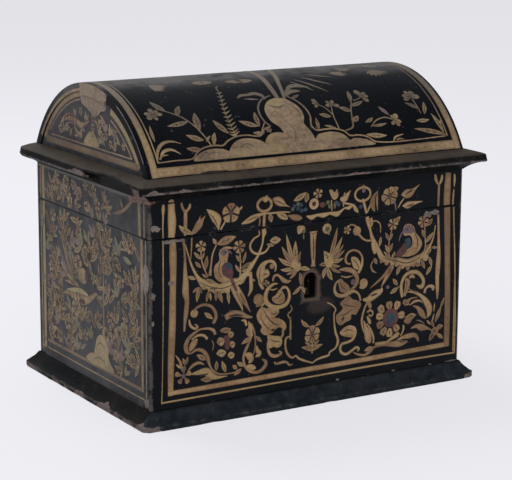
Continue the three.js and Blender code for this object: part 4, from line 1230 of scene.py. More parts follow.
# %% The shield's outline and a small flower in it
front.draw("""
gold -15.6 61.6 .7, -14.6 58.6 .8, -17.4 56 1, -15.6 52.6 1, -15.5 46 1.2, -15.4 40.4 1.2
gold -15.6 42.4 1, -18.4 41.6 1.4, -19 38 1.5, -18.4 34 1.5, -16.8 31 1.5, -14 29 1.3, -11.4 29.8 1.2, -9.6 28 1.4,
  -5.6 26 1.4, -2.4 24.8 1.1, .4 23.6 .9
gold .4 23.6 .9, 3 25.2 1.1, 7.4 26.2 1.6, 11.8 26.8 1.4, 12.8 28.8 1.2, 16.6 30.6 1.2, 18.4 33.6 1.9, 18.2 37 1.6,
  16.8 40.4 1.6, 15.8 46 1.1, 15.5 52 1, 16.6 55 1, 14 58 .9, 10.4 60 .7
gold -26.6 28.2 1, -25.2 26.8 1.4, -20.4 27.2 1.7, -17.8 26.6 1.4, -16 24.7 1.3, -13.6 25 .6
flower red 0 41.4 5.4 6 30
gold 0 36 .8, 0 32.6 .9, 0 29.6 .6
""")
for side in (-1, 1):
    front.leaf((0, 31), (side * 7.6, 34.4), 2.6, bend=side * 0.7)
    front.leaf((0, 33.6), (side * 5, 37.4), 1.8)
    front.leaf((side * 2, 46.6), (side * 8, 51.8), 2.6, bend=-side * 0.8)

# %% Scrolls at the lower left
front.draw("""
disc -81 64.8 2.5
gold -81.6 66.4 1.2, -79 68.2 1.6, -75 69.2 1.7, -70.4 68 1.8, -67.4 64.6 2, -66.6 60.8 2.2, -68.4 57.2 2
leaf -74.4 64.4 -68.6 60 2.8
gold -84.4 61.6 .8, -83.6 58 1.7, -80.8 55.8 1.6, -78.8 56.6 1.4, -80.6 58.4 .8
gold -67 50.4 1.6, -68.2 53 2, -71.4 54.6 1.4, -77 54.8 1.2, -80.4 53.4 1.6, -84.4 50.6 2.4, -86.6 46.6 2.8,
  -86 42.6 2.4, -83.6 41.2 1
gold -79 49.4 1, -81 47.4 4, -83 44.6 3.6, -84 42.6 1
gold -82.8 49.4 .8, -78.6 51.4 1.5, -74.6 50.8 1.6, -72.4 48.4 1.8
gold -83.4 41 .6, -79.4 42.9 1.7, -75.2 41.6 2.4, -72.4 37.6 2.6, -71 33 1.5, -69 29.4 1.1, -65 26.4 1, -58.4 25.5 .8,
  -52 25.6 .5
leaf -73.6 36 -79.4 40 3.2
gold -69 41 .5, -68.2 44.4 .8, -69.4 47.4 .4
gold -85.6 30.6 .6, -82 33.8 1.9, -78 34.9 1.8, -74.6 33.4 .6
gold -84 28.6 .4, -79 29 2.8, -73.4 29 4.6, -70.2 26.2 5, -66 24.4 2.4, -59 24.2 .5
leaf -69 23.6 -77 24.6 3.4
vein -77 27.2 .8, -73.4 27.2 .9, -71.6 27.8 .3
""")

# %% A lilac flower in the corner, and a row of buds
front.flower(-88.2, 28.4, 5.6, 5, 160, "lilac", thick=3.2)
front.draw("""
gold -89 31.4 .7, -90.2 36.6 1.7, -93.4 41.6 .5
leaf -89.6 33 -93.2 36.2 1.7
lilac -87.6 30.4 .6, -87.4 34 .6, -87 36 .5
leaf -87 34.6 -85.2 39.6 1.9, -87 34.6 -88.6 39.2 1.9
""")
for across, height, wide, tall in ((-60.2, 52, 7.4, 3.6), (-63.4, 45.6, 5.4, 5.6), (-63, 38.6, 6.4, 4.8),
                                   (-56.6, 49, 4, 4.2), (-55.6, 42.8, 3.8, 4.4), (-56.4, 36.4, 4.6, 4.4)):
    front.blob((across - wide / 2, height), (across - wide * 0.1, height + tall / 2),
               (across + wide / 2, height + 0.4), (across + wide * 0.12, height - tall / 2))
    front.brush((across - wide * 0.3, height - tall * 0.1, 0.3), (across + wide * 0.28, height + tall * 0.1, 0.4),
                colour="vein")

# %% Scrolls from the buds to the shield
front.draw("""
blob red -61.4 48.6, -58 48.4, -57 44, -58.4 40, -60.6 41.4, -60.8 45
leaf -66.4 28.4 -66.2 34.4 2.6, -60 26.6 -62.6 33.8 3
gold -60.4 59.6 3.6, -55.4 61.4 3.8, -50 60.6 3.4, -46 58.6 2.4, -42 57.6 1
vein -58 60 .8, -53 60.4 1.2, -48.6 59.4 .5
gold -49.4 56.6 .6, -47 56 1.8, -46 53 1.6
gold -44.6 55.4 .6, -43.4 52 2.8, -43.4 48.6 3.4, -42 46 1.4
gold -45 51 2.6, -44.6 48 2.8, -43 46 1
leaf -42.8 45.6 -49.4 42.2 2.8
gold -42.6 54 .9, -40.6 48.6 1, -39.8 42 1, -40.4 37 .8, -41.6 34 .5
leaf -39.4 45.6 -35.4 41.6 2.2
gold -39 40 .6, -38.4 37 2.6, -37.6 34.6 4, -39.6 33 .6
gold -42.4 45.8 1.2, -44.6 41.6 1.7, -46.8 37.4 2, -48 33 1.6, -46.8 28.4 1.8, -43.4 24.9 2, -39 23.5 2,
  -35.4 24.5 2.2, -32.6 27.3 2.4, -33 29.6 2, -35.2 31 .8
gold -46.6 35.6 1.6, -44 34.4 4.4, -42.8 31.8 3.6, -44.4 30 .8
gold -45.6 28 2, -43 27.4 3.6, -40.4 26.2 2.6, -40 25.6 .6
leaf -52.4 27.6 -55.4 30.2 2.6, -48 28.6 -52.4 31.6 2.6, -49.4 27.2 -54.6 23.8 2.8
""")

# %% Scrolls at the lower right
front.draw("""
gold 40 57.4 1, 37.2 51.6 1.4, 35.8 45.6 1.4, 36.6 40.6 1.1, 38 36.8 .5
gold 36.4 58.6 1.4, 40.4 58.2 4, 45 60.6 5.2, 49.4 62.4 3.4, 50.4 64.4 .8
vein 42 60 .6, 45 60.8 1.3, 47 61 .4
gold 40.4 56.4 3, 41.8 53.6 2.4, 41.4 52 .6
curl 42 48.8 2.6 .8 150 -330 1.4 1
gold 39.6 47.6 .8, 41.4 44.4 2.4, 42.2 42.4 .8
gold 37.4 45 1.2, 38.6 41 2.4, 40.2 37 5, 41 33.2 5, 42.2 30.4 1.6
gold 39.6 43 .8, 42.6 38.6 1.4, 44.6 34 1.4, 44.6 30 1.2
gold 29.8 26.2 .6, 34 24.2 1.5, 38.4 23.4 1.5, 42 25 2.4, 45.6 27.4 1.6, 52 28.2 2.4, 58 27.6 3.4, 64.6 27 4,
  70.4 27.6 1
leaf 44.6 27.6 38 26 3
gold 46 29.4 1.4, 52 29 2.4, 55 29.6 1.2, 62.4 33 3.2, 64 33 .5
gold 60.6 28.4 1.2, 66 30.6 2, 71 31 3.4, 75.6 31 2.8, 78 28.6 2, 78.4 26.4 .8
vein 61 30 .4, 66 27.8 .6, 69 27.8 .3
""")

# %% The great flower's petals, then its heart
for across, height, turn in ((62, 52, 70), (56, 52.6, 100), (50, 51, 130), (49, 46.4, 170), (49.4, 41, 200),
                             (52, 36.4, 235), (56.6, 34.8, 265), (61.6, 37.4, 310), (65.2, 45.2, 0)):
    middle, tilt = (across, height), math.radians(turn)
    front.brush((*polar(middle, -3, tilt), 2), (*middle, 5), (*polar(middle, 2.4, tilt), 3.4))
    front.brush((*polar(middle, -2, tilt), 0.3), (*polar(middle, 1, tilt), 0.5), colour="vein")
front.disc(57.2, 44.4, 6, "red", 16)
front.draw("""
disc blue 57.2 44.2 3.4
""")

# %% Scrolls round the great flower
front.draw("""
gold 67.4 41 1.6, 70.4 41.2 5, 73 42.4 2.6, 76.6 44.2 .6
gold 68 43 .6, 73 44.8 1.4, 76.4 43.6 .4
gold 67 38.6 1.2, 67 35.4 1.2, 65 32 .7
gold 72.8 35.6 .6, 77 36.6 2.6, 81 35.2 4.4, 85.6 34 1.6, 88.6 32.4 .8
leaf 66.4 54 71 51.2 4
gold 66.4 53.6 3, 69 53 3.4, 72.4 54.8 1.2, 77 55 .6
gold 71.4 50.6 .6, 75 52.6 1.8, 79 52.6 1.2, 81 51 .5
gold 69.6 59.4 .6, 75 58.4 1.8, 79.6 55.8 2.2, 83.4 52 4, 86.2 47.6 4.6, 86.4 43.6 3.4, 85 41.2 .8
gold 74 50 .6, 77.6 48.2 2.4, 80.6 44.6 4.2, 83 41.6 2.2, 84.4 40.6 .6
vein 82.6 48 .4, 82 50 .6, 80.4 53 .3
gold 82.6 57 2, 83.2 59.6 1.8, 86 61.2 1.8, 89 60 2.6, 88.6 58 1.2
lilac 76.6 40.4 .4, 79.6 39.6 .9, 83 37.4 .4
gold 65.6 56.4 1.6, 65 60 2.4, 64.8 64.6 2.2, 67 69.4 2.2, 71.4 71.6 2.4, 76.4 71 2.6, 80 68 2.4, 81.6 64.4 2.4,
  80 61.4 3, 76.4 62.6 .8
gold 67 57 1.8, 68.6 61 3, 69.4 65.6 4, 67.8 68 1.6
gold 70.6 68.4 1.4, 73 69 2.6, 74.8 67.6 .6
vein 67.6 59 .3, 69 63.4 .5, 68.4 66.6 .3
gold 70 61.6 .5, 74 59 .9, 79 57.4 .4
leaf 61.8 64.6 58.4 69 2.8, 62.4 63 56.4 59.8 3
gold 62 63.8 .5, 64.6 62.6 .7
disc lilac 54.6 64.2 1.2
leaf 90.6 50 90 44 1.1, 90.4 43 88.6 37 1, 91.4 37.4 95.6 47 3, 95 46 98 52.4 1.8, 90.6 31.4 87 25.6 3.6,
  92.4 33.6 97.4 34.2 3.4, 93 29.6 97.6 26 2.6, 90.4 34 88.4 39 2, 88 36 84.6 39.4 1.6
disc 91.2 31.4 2.8
disc red 91 31.6 .9
""")

# %% Worn spots on top of the painting
front.draw("""
spot 84 107 8 4.6, 89 107.6 7 4, -98 108.6 9 2.4, -90 108.8 10 2, -107.6 78 3 5, -108 62 2 4, -96 84.6 5 3,
  18.5 10.6 2.8 1.5, 60 10.4 3 1, 88 10.4 2.6 1.1, 104 10.5 9 1
""")
lay(front, "front_painting", on_front, "box")

# %% [markdown]
# ## The lid's band, front
# The same hand goes on above the seam: the bands end in small forks, and between them run leaves, rings, tulips
# and round flowers. This film belongs to the lid, so it leaves the box with it.

# %% The band's left half
lid_front = Painting(5)
lid_front.draw("""
gold -101.1 111.3 .8, -101.2 118 .9, -101 124 1.1, -100.9 127.4 2.2, -100.8 130.6 1.5
gold -95.8 111.2 4.2, -95.4 116 4.9, -95.3 121 5.4, -95.6 126 4.6, -95.7 130.6 4.4
gold -97.4 131.8 1, -95.4 132.4 2, -94 131.6 .6
gold -86.9 111.3 1.6, -86.6 118 2.4, -86.6 126.4 2.2
gold -87 125 1.4, -88.6 128 1.6, -89.2 130.6 1.2
gold -86.2 125 1.4, -84 127.4 1.8, -83.6 129.6 1.2
leaf -82 112 -91 117.8 3.6 .8
gold -83 111.6 1.4, -80 114 3.6, -77.4 117.4 4.6, -75.6 119.4 2, -73.6 121.6 .3
gold -78.4 118 1.4, -77.4 120 1, -77 121.6 .3
gold -72.8 125.2 .3, -69.4 122.4 4.2, -66 118.6 6, -65.2 114.6 2.4, -64.8 112.4 .5
vein -71 122.6 .2, -68 119.6 .5, -65.6 114.6 .3
gold -63.6 112.4 1.2, -61.4 115.6 1, -59.4 118.6 .9
flower red -56.6 121.6 5.6 5 15
leaf -51.6 122.4 -48.8 124.8 1.6
gold -49.6 114.4 .5, -46 115.4 3, -42 116.9 4, -38.6 118.2 2.6, -34 118.9 1.2, -28 118.7 1.2, -22 118.7 1,
  -16.4 118 .6
leaf -30.4 118.6 -29.2 113.2 3.4
gold -26 119 .6, -23.4 117.2 3.6, -20 115.4 3.6, -18.2 114 .8
gold -18 116.2 .4, -14 114.8 3.4, -10.4 114 3.4, -8 113.6 .8
vein -46 115.6 .2, -42 117 .5, -38.6 117.8 .2
vein -24 117.8 .2, -21 116.2 .5, -19 114.8 .2
ring -34 124.2 4.8 3.9 1.8
disc -33.4 127.2 1.7, -32.6 128.8 .9
gold -34 120.6 1.8, -34.2 116 1.9, -34.5 111.3 1.8
gold -37.4 117.6 .5, -37.2 114.6 .9, -37.6 111.8 .7
gold -28.4 127.2 .8, -25.6 126 4.8, -22.4 124.2 4.6, -19.4 122.4 1.4, -16.6 121.2 .3
vein -27 126 .2, -23.6 124.6 .6, -20 122.8 .2
leaf -14 124.6 -5 129 3.8 -.4, -5.6 122.8 -4 128.4 3.2
disc blue -13.4 121.4 1.3, -11 119.6 1.3, -8.8 121.6 1.3, -8.4 118.2 1.3, -5.8 118.6 1.3
disc green -14.6 119.6 1.3, -11 122.4 1.3, 10 121.4 1.3, 11.4 118.8 1.3
disc blue 17.6 119.4 1.3, 16 120.6 1.3, 33.6 116.6 1.3
disc .2 121.4 3.4
disc vein .2 121.4 1.4
flower red 3 127.4 3.2 5 30
""")

# %% The band's right half
lid_front.leaf((4, 120.6), (8.6, 120), 3.4, colour="red", vein=False)
lid_front.draw("""
gold -5 114.6 .6, -1.4 113.4 3, 2.4 114.4 1.7, 7 113.9 3, 11.6 114.6 1.8, 16.4 113.7 3.4, 19 114.9 1.8, 22 116.7 1,
  25 116.6 2.4, 28 117.8 1.5, 30 115.2 2.6, 31.8 113.2 1
blob 10.8 128.8, 11.8 125.8, 13.6 123, 15.8 122.8, 17.4 125, 16.4 128.8, 14.8 127, 13 128.6
gold 12.6 122.6 .6, 12.6 119.4 .8, 13 116 .6
leaf 14.8 117 15 121.6 1.8
gold 18.8 122.8 1.6, 21.4 122.4 4.6, 23.8 124.6 2.8, 26.2 127.2 .4
gold 21.6 124 1.6, 21.9 126.4 .5
gold 21 120.6 .9, 21.2 117.6 .8
gold 21.4 119.8 .9, 25 119 1.3, 29.4 118 .6
ring 35 124 5.6 4.2 1.5
disc 35.4 128.6 1.1
disc lilac 35.6 126.2 1.3
gold 35 121.2 1.4, 36.4 117 1.8, 38 112 1.7
gold 46 125.2 .3, 42.9 121.4 2.6, 42.2 117 3.8, 43.8 112.6 .8
gold 45.8 124.4 .3, 45.4 119.4 1.5, 46 113 .5
leaf 38.6 112.6 40.8 117.6 1.2
flower red 54.6 121 5.6 6 10
leaf 56.6 124.2 61 125.6 3.4
lilac 58.2 118.4 .6, 59 115 .9, 59.4 111.8 .5
gold 65.4 118.6 .7, 63 116 .9, 61 113 .5
gold 63.4 121 .8, 66.6 121.2 5.4, 70 121.6 5, 73.4 123.8 1.8, 76.8 126.2 .3
vein 66 120.6 .3, 69.4 122.4 1, 72 123.4 .3
gold 64.4 114 .6, 68 114.1 4.4, 72 114.9 2.8, 79.4 115.5 .3
vein 67 113.6 .3, 70 113.8 .9, 73 114.8 .3
gold 91.4 111.2 1.4, 91.5 118 1.7, 91.6 125.4 1.8
gold 91 125 1.2, 89.2 128 2.2, 88.6 131.4 1.4
gold 92 125 1.2, 93.4 127.6 2.2, 93.8 130.8 1.2
gold 97.9 111.4 4.8, 98 118 5, 98.2 125 4.7, 98.6 131.6 4
gold 102.6 111.2 1.2, 102.9 118 1.2, 103.2 121 .4
gold 103.2 122.4 .6, 103.5 127 1.7, 103.2 130.4 1.2
spot -107 117.6 5 4.4, -104.6 116.4 4 3
""")
lay(lid_front, "lid_front_painting", on_front, "lid")

# %% [markdown]
# ## The dome
# A broad band runs along the front foot of the dome and narrower ones follow its ends over the top. Golden hills
# rise from the foot, a tall one in the middle carries two tree trunks, and loose sprigs grow between them. The
# back half repeats the scheme more simply.

# %% Scattered leaves
def scatter(painting, area, spacing, size, inside=lambda across, height: True, tries=1500):
    """Sprays of leaves and small flowers all over an area (left, low, right, high), at least a spacing apart."""
    chance, taken = painting.chance, []
    for _ in range(tries):
        across, height = chance.uniform(area[0], area[2]), chance.uniform(area[1], area[3])
        if not inside(across, height) or any(math.hypot(across - a, height - b) < spacing for a, b in taken):
            continue
        taken.append((across, height))
        kind, turn, long = chance.random(), math.radians(90 + chance.gauss(0, 55)), size * chance.uniform(0.8, 1.2)
        colour = chance.choice(("gold", "gold", "gold", "gold", "gold", "rose", "olive"))
        if kind < 0.8:
            foot = polar((across, height), -0.5 * long, turn)
            fan = ((0, 1), (0.62, 0.8), (-0.62, 0.8), (1.15, 0.55), (-1.15, 0.55))[:chance.choice((1, 2, 3, 3, 5))]
            for spread, share in fan:
                reach, angle = long * share, turn + spread + chance.uniform(-0.12, 0.12)
                painting.leaf(foot, polar(foot, reach, angle), reach * 0.34, bend=chance.uniform(-0.7, 0.7),
                              vein=colour == "gold" and reach > 7, colour=colour)
        else:
            painting.flower(across, height, long * 0.42, 5, math.degrees(turn), chance.choice(("red", "lilac", "vein")),
                            colour=colour)
    return len(taken)


# %% Bands and hills of the dome
dome = Painting(7)
dome.band((-107.2, 3.5), (104, 3.6), 5.8, 0.05)
dome.band((-104.9, 0.6), (-104.9, dome_arc - 0.6), 4.3, 0.05)
dome.band((106.1, 0.6), (106.1, dome_arc - 0.6), 4.4, 0.05)
dome.band((-107.2, dome_arc - 3.5), (104, dome_arc - 3.5), 5.6, 0.05)
dome.draw("""
gold -101 9.4 .7, -90 9.9 .8, -79 10 .8, -74.4 13.8 .9, -69 16.4 1, -62 17.3 1, -56.4 16.8 1, -52 19.6 1, -45.4 22 1,
  -38 22.2 1, -32.4 21 1, -28.8 21.4 1, -24.4 25.8 1, -20.4 27 1, -22.6 31 1.1, -23.2 37 1.2, -21 43.6 1.2,
  -15.4 49.6 1.1, -8 52.8 1
gold 2.6 50.8 1, 7 45.4 1.2, 9.6 38.6 1.2, 9.8 32 1.1, 7.6 25.6 1, 9.4 21.6 1, 15 21.6 1, 22 21.4 1, 28 19.4 1,
  31.4 15.8 1, 37 15.6 1, 43 14 1, 48 10.2 .9, 60 8.9 .8, 80 9 .8, 100 9.6 .7
""")
dome.band((-101, 9.4), (-101, dome_arc - 9.4), 0.8, 0.08)
dome.band((101.2, 9.4), (101.2, dome_arc - 9.4), 0.8, 0.08)
for outline in (((-78, 9), (-74, 12.5), (-69, 14.5), (-63, 15.2), (-57, 14.4), (-53, 12), (-51, 8.4)),
                ((-55.4, 8.4), (-53.6, 12.6), (-50.4, 16.4), (-46, 19.2), (-40, 20.2), (-33.6, 19), (-28.6, 16.2),
                 (-26, 8.4)),
                ((-31, 8.4), (-28.6, 15.4), (-24.6, 20.4), (-19, 22.4), (-12, 21), (-6, 16), (-3, 8.4)),
                ((4, 8.4), (8.2, 17.4), (14, 19.2), (20, 19.4), (26, 17.6), (30, 13.4), (31.6, 8.4)),
                ((28.6, 8.4), (31.4, 13.2), (36, 13.6), (42, 12.2), (46.4, 9.6), (47.6, 8.2))):
    left, right = outline[0][0], outline[-1][0]
    dome.blob(*outline[1:-1], (right, 9.4), (right - 1.4, 8.3), (left + (right - left) * 0.66, 8.2),
              (left + (right - left) * 0.33, 8.2), (left + 1.4, 8.3), (left, 9.4), colour="hill")
dome.draw("""
blob hill -14 12, -13 20, -14.4 26, -17.8 30, -19 36, -17.4 42, -12.6 47.4, -6 49.8, -.4 48.6, 3.8 44, 6 38, 5.4 32,
  3.2 27, 5.4 21, 7 12, 6.4 8.6, 0 8.3, -7 8.3, -13.4 8.6
green -14 44 .4, -8 41 1.4, -3 43.6 .4
green -16 36 .3, -12 38 .8, -9 34 .3
green 1 41 .3, 3.6 37 .7, 3 32 .3
green -8 28 .3, -5 22 .7, -8 15 .3
green -46 14 .3, -41 16.4 .6, -36 14.6 .3
green -68 11.6 .3, -63 12.8 .5, -58 11.4 .3
vein -76 .9 .5, -70 1.1 1.4, -64 .9 1.2, -58 1 .4
""")

# %% Trunks and the leaves at their foot
dome.draw("""
gold -4.6 45 2, -4.2 52 3, -3 62 3.4, -1 74 3.8, 1 88 4.2, 4 104 3, 8 118 1.2
gold -1 46 1.4, 1.6 54 2.2, 5.4 66 2.6, 9.6 77 3.2, 14 90 3, 20 104 1.4
gold .4 50.4 .6, 5.6 56.6 1.7, 12 61.4 3.8, 18 60.6 3.6, 23 58.6 .5
gold 1.8 50.6 .6, 6.6 54.6 3.2, 11 55.6 3.2, 14.6 55 .6
leaf 4.4 48 11.6 51.4 2.2
gold -31 52.4 .5, -27 55 2.4, -22.4 55.2 2.4, -17.4 56 3.4, -13.8 53.6 3, -13 49.4 .6
lilac -27 51.2 .4, -22 50.4 1.6, -18 49.6 .5
gold 14 67 .5, 19 61 1.7, 24 54.6 .4
gold 18.4 70 .5, 25 62.4 1.9, 33 52.4 .4
gold 25 73 .5, 32 66 1.8, 40 59.6 .4
gold 30 78 .4, 38 73 1.6, 46 70 .3
""")

# %% Sprigs on the left of the dome
dome.draw("""
gold -63.8 17 .9, -66 24 .9, -70 33 .9, -75.4 40.2 .9, -82 45 .7, -88 48.4 .5
leaf -82.4 45 -88.4 55.6 4 .4, -77 40.6 -71.8 49.4 3.6 .4, -67.4 28 -65 42.4 4.6 .4, -72 35.8 -86.6 33.4 3.4 .4,
  -67.2 21.4 -77.4 26 4 .4, -61.8 17.6 -58.4 26 3 .4, -71 15.6 -80.4 17 3.4 .4, -49.6 24.4 -56 35.4 4 .4,
  -28 28 -39.6 33 4 .4, -27.4 27.6 -26 39 3.4 .4, -26 22.8 -33.6 23.6 2.8 .4, -98.6 23 -97.4 35 2 .4,
  -66 20 -62 24 1.6 .4
gold -29 21 .6, -26 26 .7, -22.6 30.6 .5
flower lilac -22.4 24.6 2 5
bloom -91.6 43.6 6.4 190 6 320
gold -45.2 21.6 .5, -46 30 .45, -45 42 .4, -42 52 .5, -39.4 61 .6, -38.4 66 .8, -36 68 .6
""")
for i in range(12):
    t = i / 11
    across, height = -45.6 + 6 * t ** 2.4, 23 + 36 * t ** 1.25
    size = 3.6 * (1 - 0.42 * t)
    dome.brush((across - size, height + size * 0.3, 0.4), (across - size * 0.2, height, 1.2),
               (across + size, height + size * 0.7, 0.4), steps=3)
dome.draw("""
gold -100.6 11.6 .6, -98.6 17.4 2, -94 21.6 2, -88 22.4 1.4, -82.6 20.4 .3
gold -99 11.4 .8, -95.6 16 2, -90 17 1.7, -85 13.6 .3
gold -99.6 11.4 .6, -97 13.6 1.2, -93 13.8 .3
""")

# %% Sprigs on the right of the dome
dome.draw("""
gold 25.6 20.6 .7, 25.8 30 .8, 27.4 36.6 .7, 29 40 .5
gold 25.8 32 .6, 23 38 .6, 19.6 41 .5
bloom 20 41 5 160 3 110, 29 39.6 5.2 90 4 200
leaf 24 30.4 16.6 33 3.4, 11.6 21.6 13 30.6 2.4, 23.6 21.8 16.6 24.4 2
gold 29.6 19.4 .8, 35.6 21.4 1, 37.6 27 .9, 40.6 35 .9, 43.6 40.4 .8, 45.8 47 .5
leaf 39.8 33 32.6 37 3.8 -.4, 43.4 41 46.6 51.4 3 -.4, 41 37.4 52.4 41 3 -.4, 37.2 25.4 43 29.4 3.6 -.4,
  43 15.4 57.4 13.6 3.6 -.4, 46 24 52.6 27 2.6 -.4, 50 21 60.6 22 2 -.4, 88.6 30.6 81.2 36.6 3 -.4,
  91 26.4 95 36 3 -.4, 83 22 92.6 22 3 -.4, 101 10.4 78.6 16.4 3.4 -.4, 99.4 12 95.8 26.6 3.2 -.4,
  98 17 100.4 21 1.4 -.4
bloom 53.4 45 6.2 20 4 150
gold 45.8 42 .6, 50 43 .6, 53 45 .4
gold 48.6 20.4 .5, 54 24.6 .8, 61 26.4 .8, 66 24.4 .7
bloom 67 23.6 5.4 -10 5 230
leaf lilac 60.6 35 65.2 27.6 2.8
gold 88.2 39 .8, 88.6 33 .8, 88.6 27 .5
bloom 87.8 40.6 6.8 100 5 190
gold 60.6 8.8 .5, 63 12 1.4, 69.4 13.4 .5
gold 63 10 .4, 66 10.6 1, 69 9.8 .3
""")

# %% The upper part of the dome
for across, along, reach, first, last, count in (
        (-78, 77, 12, -88, -20, 6), (-50, 75, 9, -20, 20, 3), (-36, 75.4, 9, 160, 200, 3), (-9, 73.6, 10, 165, 200, 3),
        (-28, 73.6, 10, -16, 14, 3), (48, 76, 12, -36, 6, 4), (80, 76, 11, -140, -30, 7), (84, 83, 8, 20, 150, 5),
        (62, 84, 7, 200, 330, 5), (-60, 92, 8, 20, 160, 5), (-92, 94, 8, 0, 120, 5), (34, 96, 8, 30, 170, 5),
        (-16, 104, 7, 0, 150, 5)):
    for i in range(count):
        turn = math.radians(first + (last - first) * i / (count - 1))
        long = reach * dome.chance.uniform(0.8, 1.05)
        dome.leaf((across, along), polar((across, along), long, turn), 2.7, vein=False)

# %% The back half of the dome
for outline in (((-84, 0), (-80, 6), (-70, 9), (-60, 6), (-56, 0)),
                ((-24, 0), (-18, 12), (-4, 20), (10, 18), (20, 10), (26, 0)),
                ((50, 0), (56, 7), (68, 10), (80, 6), (84, 0))):
    dome.blob(*((a, dome_arc - 8 - b) for a, b in outline))
for across, lean, leaves in ((-72, -8, 7), (-44, 6, 8), (0, 3, 9), (36, -6, 8), (68, 7, 7), (90, -4, 6), (-92, 3, 6)):
    dome.sprig([(across, dome_arc - 16), (across + lean, dome_arc - 30), (across - lean * 0.4, dome_arc - 46),
                (across + lean, dome_arc - 60)], leaves, 9, stem=0.9, flower=4.6, petals=6)
lay(dome, "dome_painting", on_dome, "lid", strips=3.0, gold="dome gold")

# %% [markdown]
# ## The ends of the dome
# Each end panel lies a little inside the staves. A gold band follows the arch and another runs along its foot,
# with a thin line inside both, and a bird stands in the leaves over a small mound. At the top of the left panel a
# piece of ground is lost and was filled in plain brown.


# %% Bands along an arch
def on_arc(radius, turn, thick):
    """A point of a stroke on an arc about the dome's axis, turn degrees from its top."""
    angle = math.radians(turn)
    return radius * math.sin(angle), dome_axis + radius * math.cos(angle), thick


def arch(painting, radius, thick, low, skip, back):
    """A band along an arch of that radius, from the height low up and down again, with a gap between two places.
    The back half lies further out by back."""
    reach = math.degrees(math.acos((low - dome_axis) / radius))
    points, pieces = [], 48
    for i in range(pieces + 1):
        turn = -reach + 2 * reach * i / pieces
        point = on_arc(radius + (back if turn < 0 else 0), turn, thick)
        if skip[0] < point[0] < skip[1]:
            if len(points) > 1:
                painting.brush(*points, steps=2)
            points = []
        else:
            points.append(point)
    if len(points) > 1:
        painting.brush(*points, steps=2)


no_gap = (999, 999)


# %% An end panel's painting
def end_painting(seed, skip=no_gap, back=0):
    made = Painting(seed)
    arch(made, 76.6, 4.6, 150, skip, back)
    arch(made, 71.6, 0.9, 154, skip, back * 1.6)
    made.band((-62, 150.2), (62, 150.2), 4, 0.04)
    made.band((-54, 153.9), (54, 153.9), 0.8, 0.1)
    made.draw("""
    blob -8 154.6, -5.6 159, -1 162.4, 4.4 162.6, 8.6 159.4, 11 154.6
    gold -42 160 1, -38 164.6 2.6, -31 167.6 4.4, -22 167.4 5, -13 165 4.4, -6 166 3.2, -2.6 168.6 2, -1 168 .3
    red -36 166 .6, -28 169 1.4, -18 168.4 1.2, -11 166 .5
    red -10 164 1, -6 165 2, -3 166.6 .8
    lilac -34 163.4 .5, -26 164.6 1.4, -18 163.6 .5
    """)
    for i in range(5):
        made.brush((-34 + i * 4, 168.4, 0.2), (-35 + i * 4, 165.6, 0.45), (-33.6 + i * 4, 163.6, 0.2), colour="vein")

    def free(across, height):
        in_arch = across ** 2 + (height - dome_axis) ** 2 < 68.6 ** 2 and height > 156.4
        bird = -42 < across < 0 and 162 < height < 171
        mound = -9 < across < 12 and height < 164
        patch = skip[0] < across < skip[1] and height > 172
        return in_arch and not bird and not mound and not patch

    scatter(made, (-52, 158, 52, 176), 4.8, 6.6, free)
    return made


# %% The brown filling over the lost ground
left_end = end_painting(11, (-12, 25), 2)
left_end.draw("""
blob filler -12 184.4, -11.4 179, -6 177, 0 174.6, 5 172.4, 11 173.6, 15 176.4, 19 177, 21.6 179, 19.6 182, 10 184.8,
  0 185.6, -7 185.2
""")
lay(left_end, "left_end_painting", on_left_panel, "lid", gold="side gold")

# %% The filling, and a painted highlight along the ends of the staves
filling = Painting(13)
# the pale line at radius 84.3, over the front of the arch, is a painted highlight along the arris of the stave ends,
# laid in the worn-ground paint
for first, last, radius, wide, colour in ((-8, 17, 82.2, 4.4, "filler"), (26, 56, 84.3, 0.55, "worn")):
    filling.brush(*(on_arc(radius, first + (last - first) * i / 10, wide) for i in range(11)), colour=colour)
lay(filling, "left_filling_and_arris_highlight", on_stave_ends, "lid", gold="side gold")


# %% The step between the left panel and its staves
def in_the_joint(across, lift, out):
    """On the panel, thick enough to fill the step and to lie just above what is on the ends of the staves."""
    return on_left_panel(across, lift, out + dome_half_width - panel_face + film_bed if out > 0 else out)


joint = Painting(14)
joint.brush(*(on_arc(79.7, turn, 5.4) for turn in range(-8, 18, 3)), colour="filler")
joint.brush(*(on_arc(80.6, turn, 2) for turn in range(-56, -7, 3)))
lay(joint, "left_joint_filling", in_the_joint, "lid", gold="side gold")

# %% The right end
lay(end_painting(12), "right_end_painting", on_right_panel, "lid", gold="side gold")

# %% [markdown]
# ## The sides and the back
# The sides carry the same bands and a dense meadow of small leaves and flowers, with a mound, a thin tree and a
# long-tailed bird in it. Nothing of the back or the right side can be seen in the photograph, so they follow the
# same scheme with a looser drawing.


# %% A side's painting
hearts = ("red", "vein", "lilac")


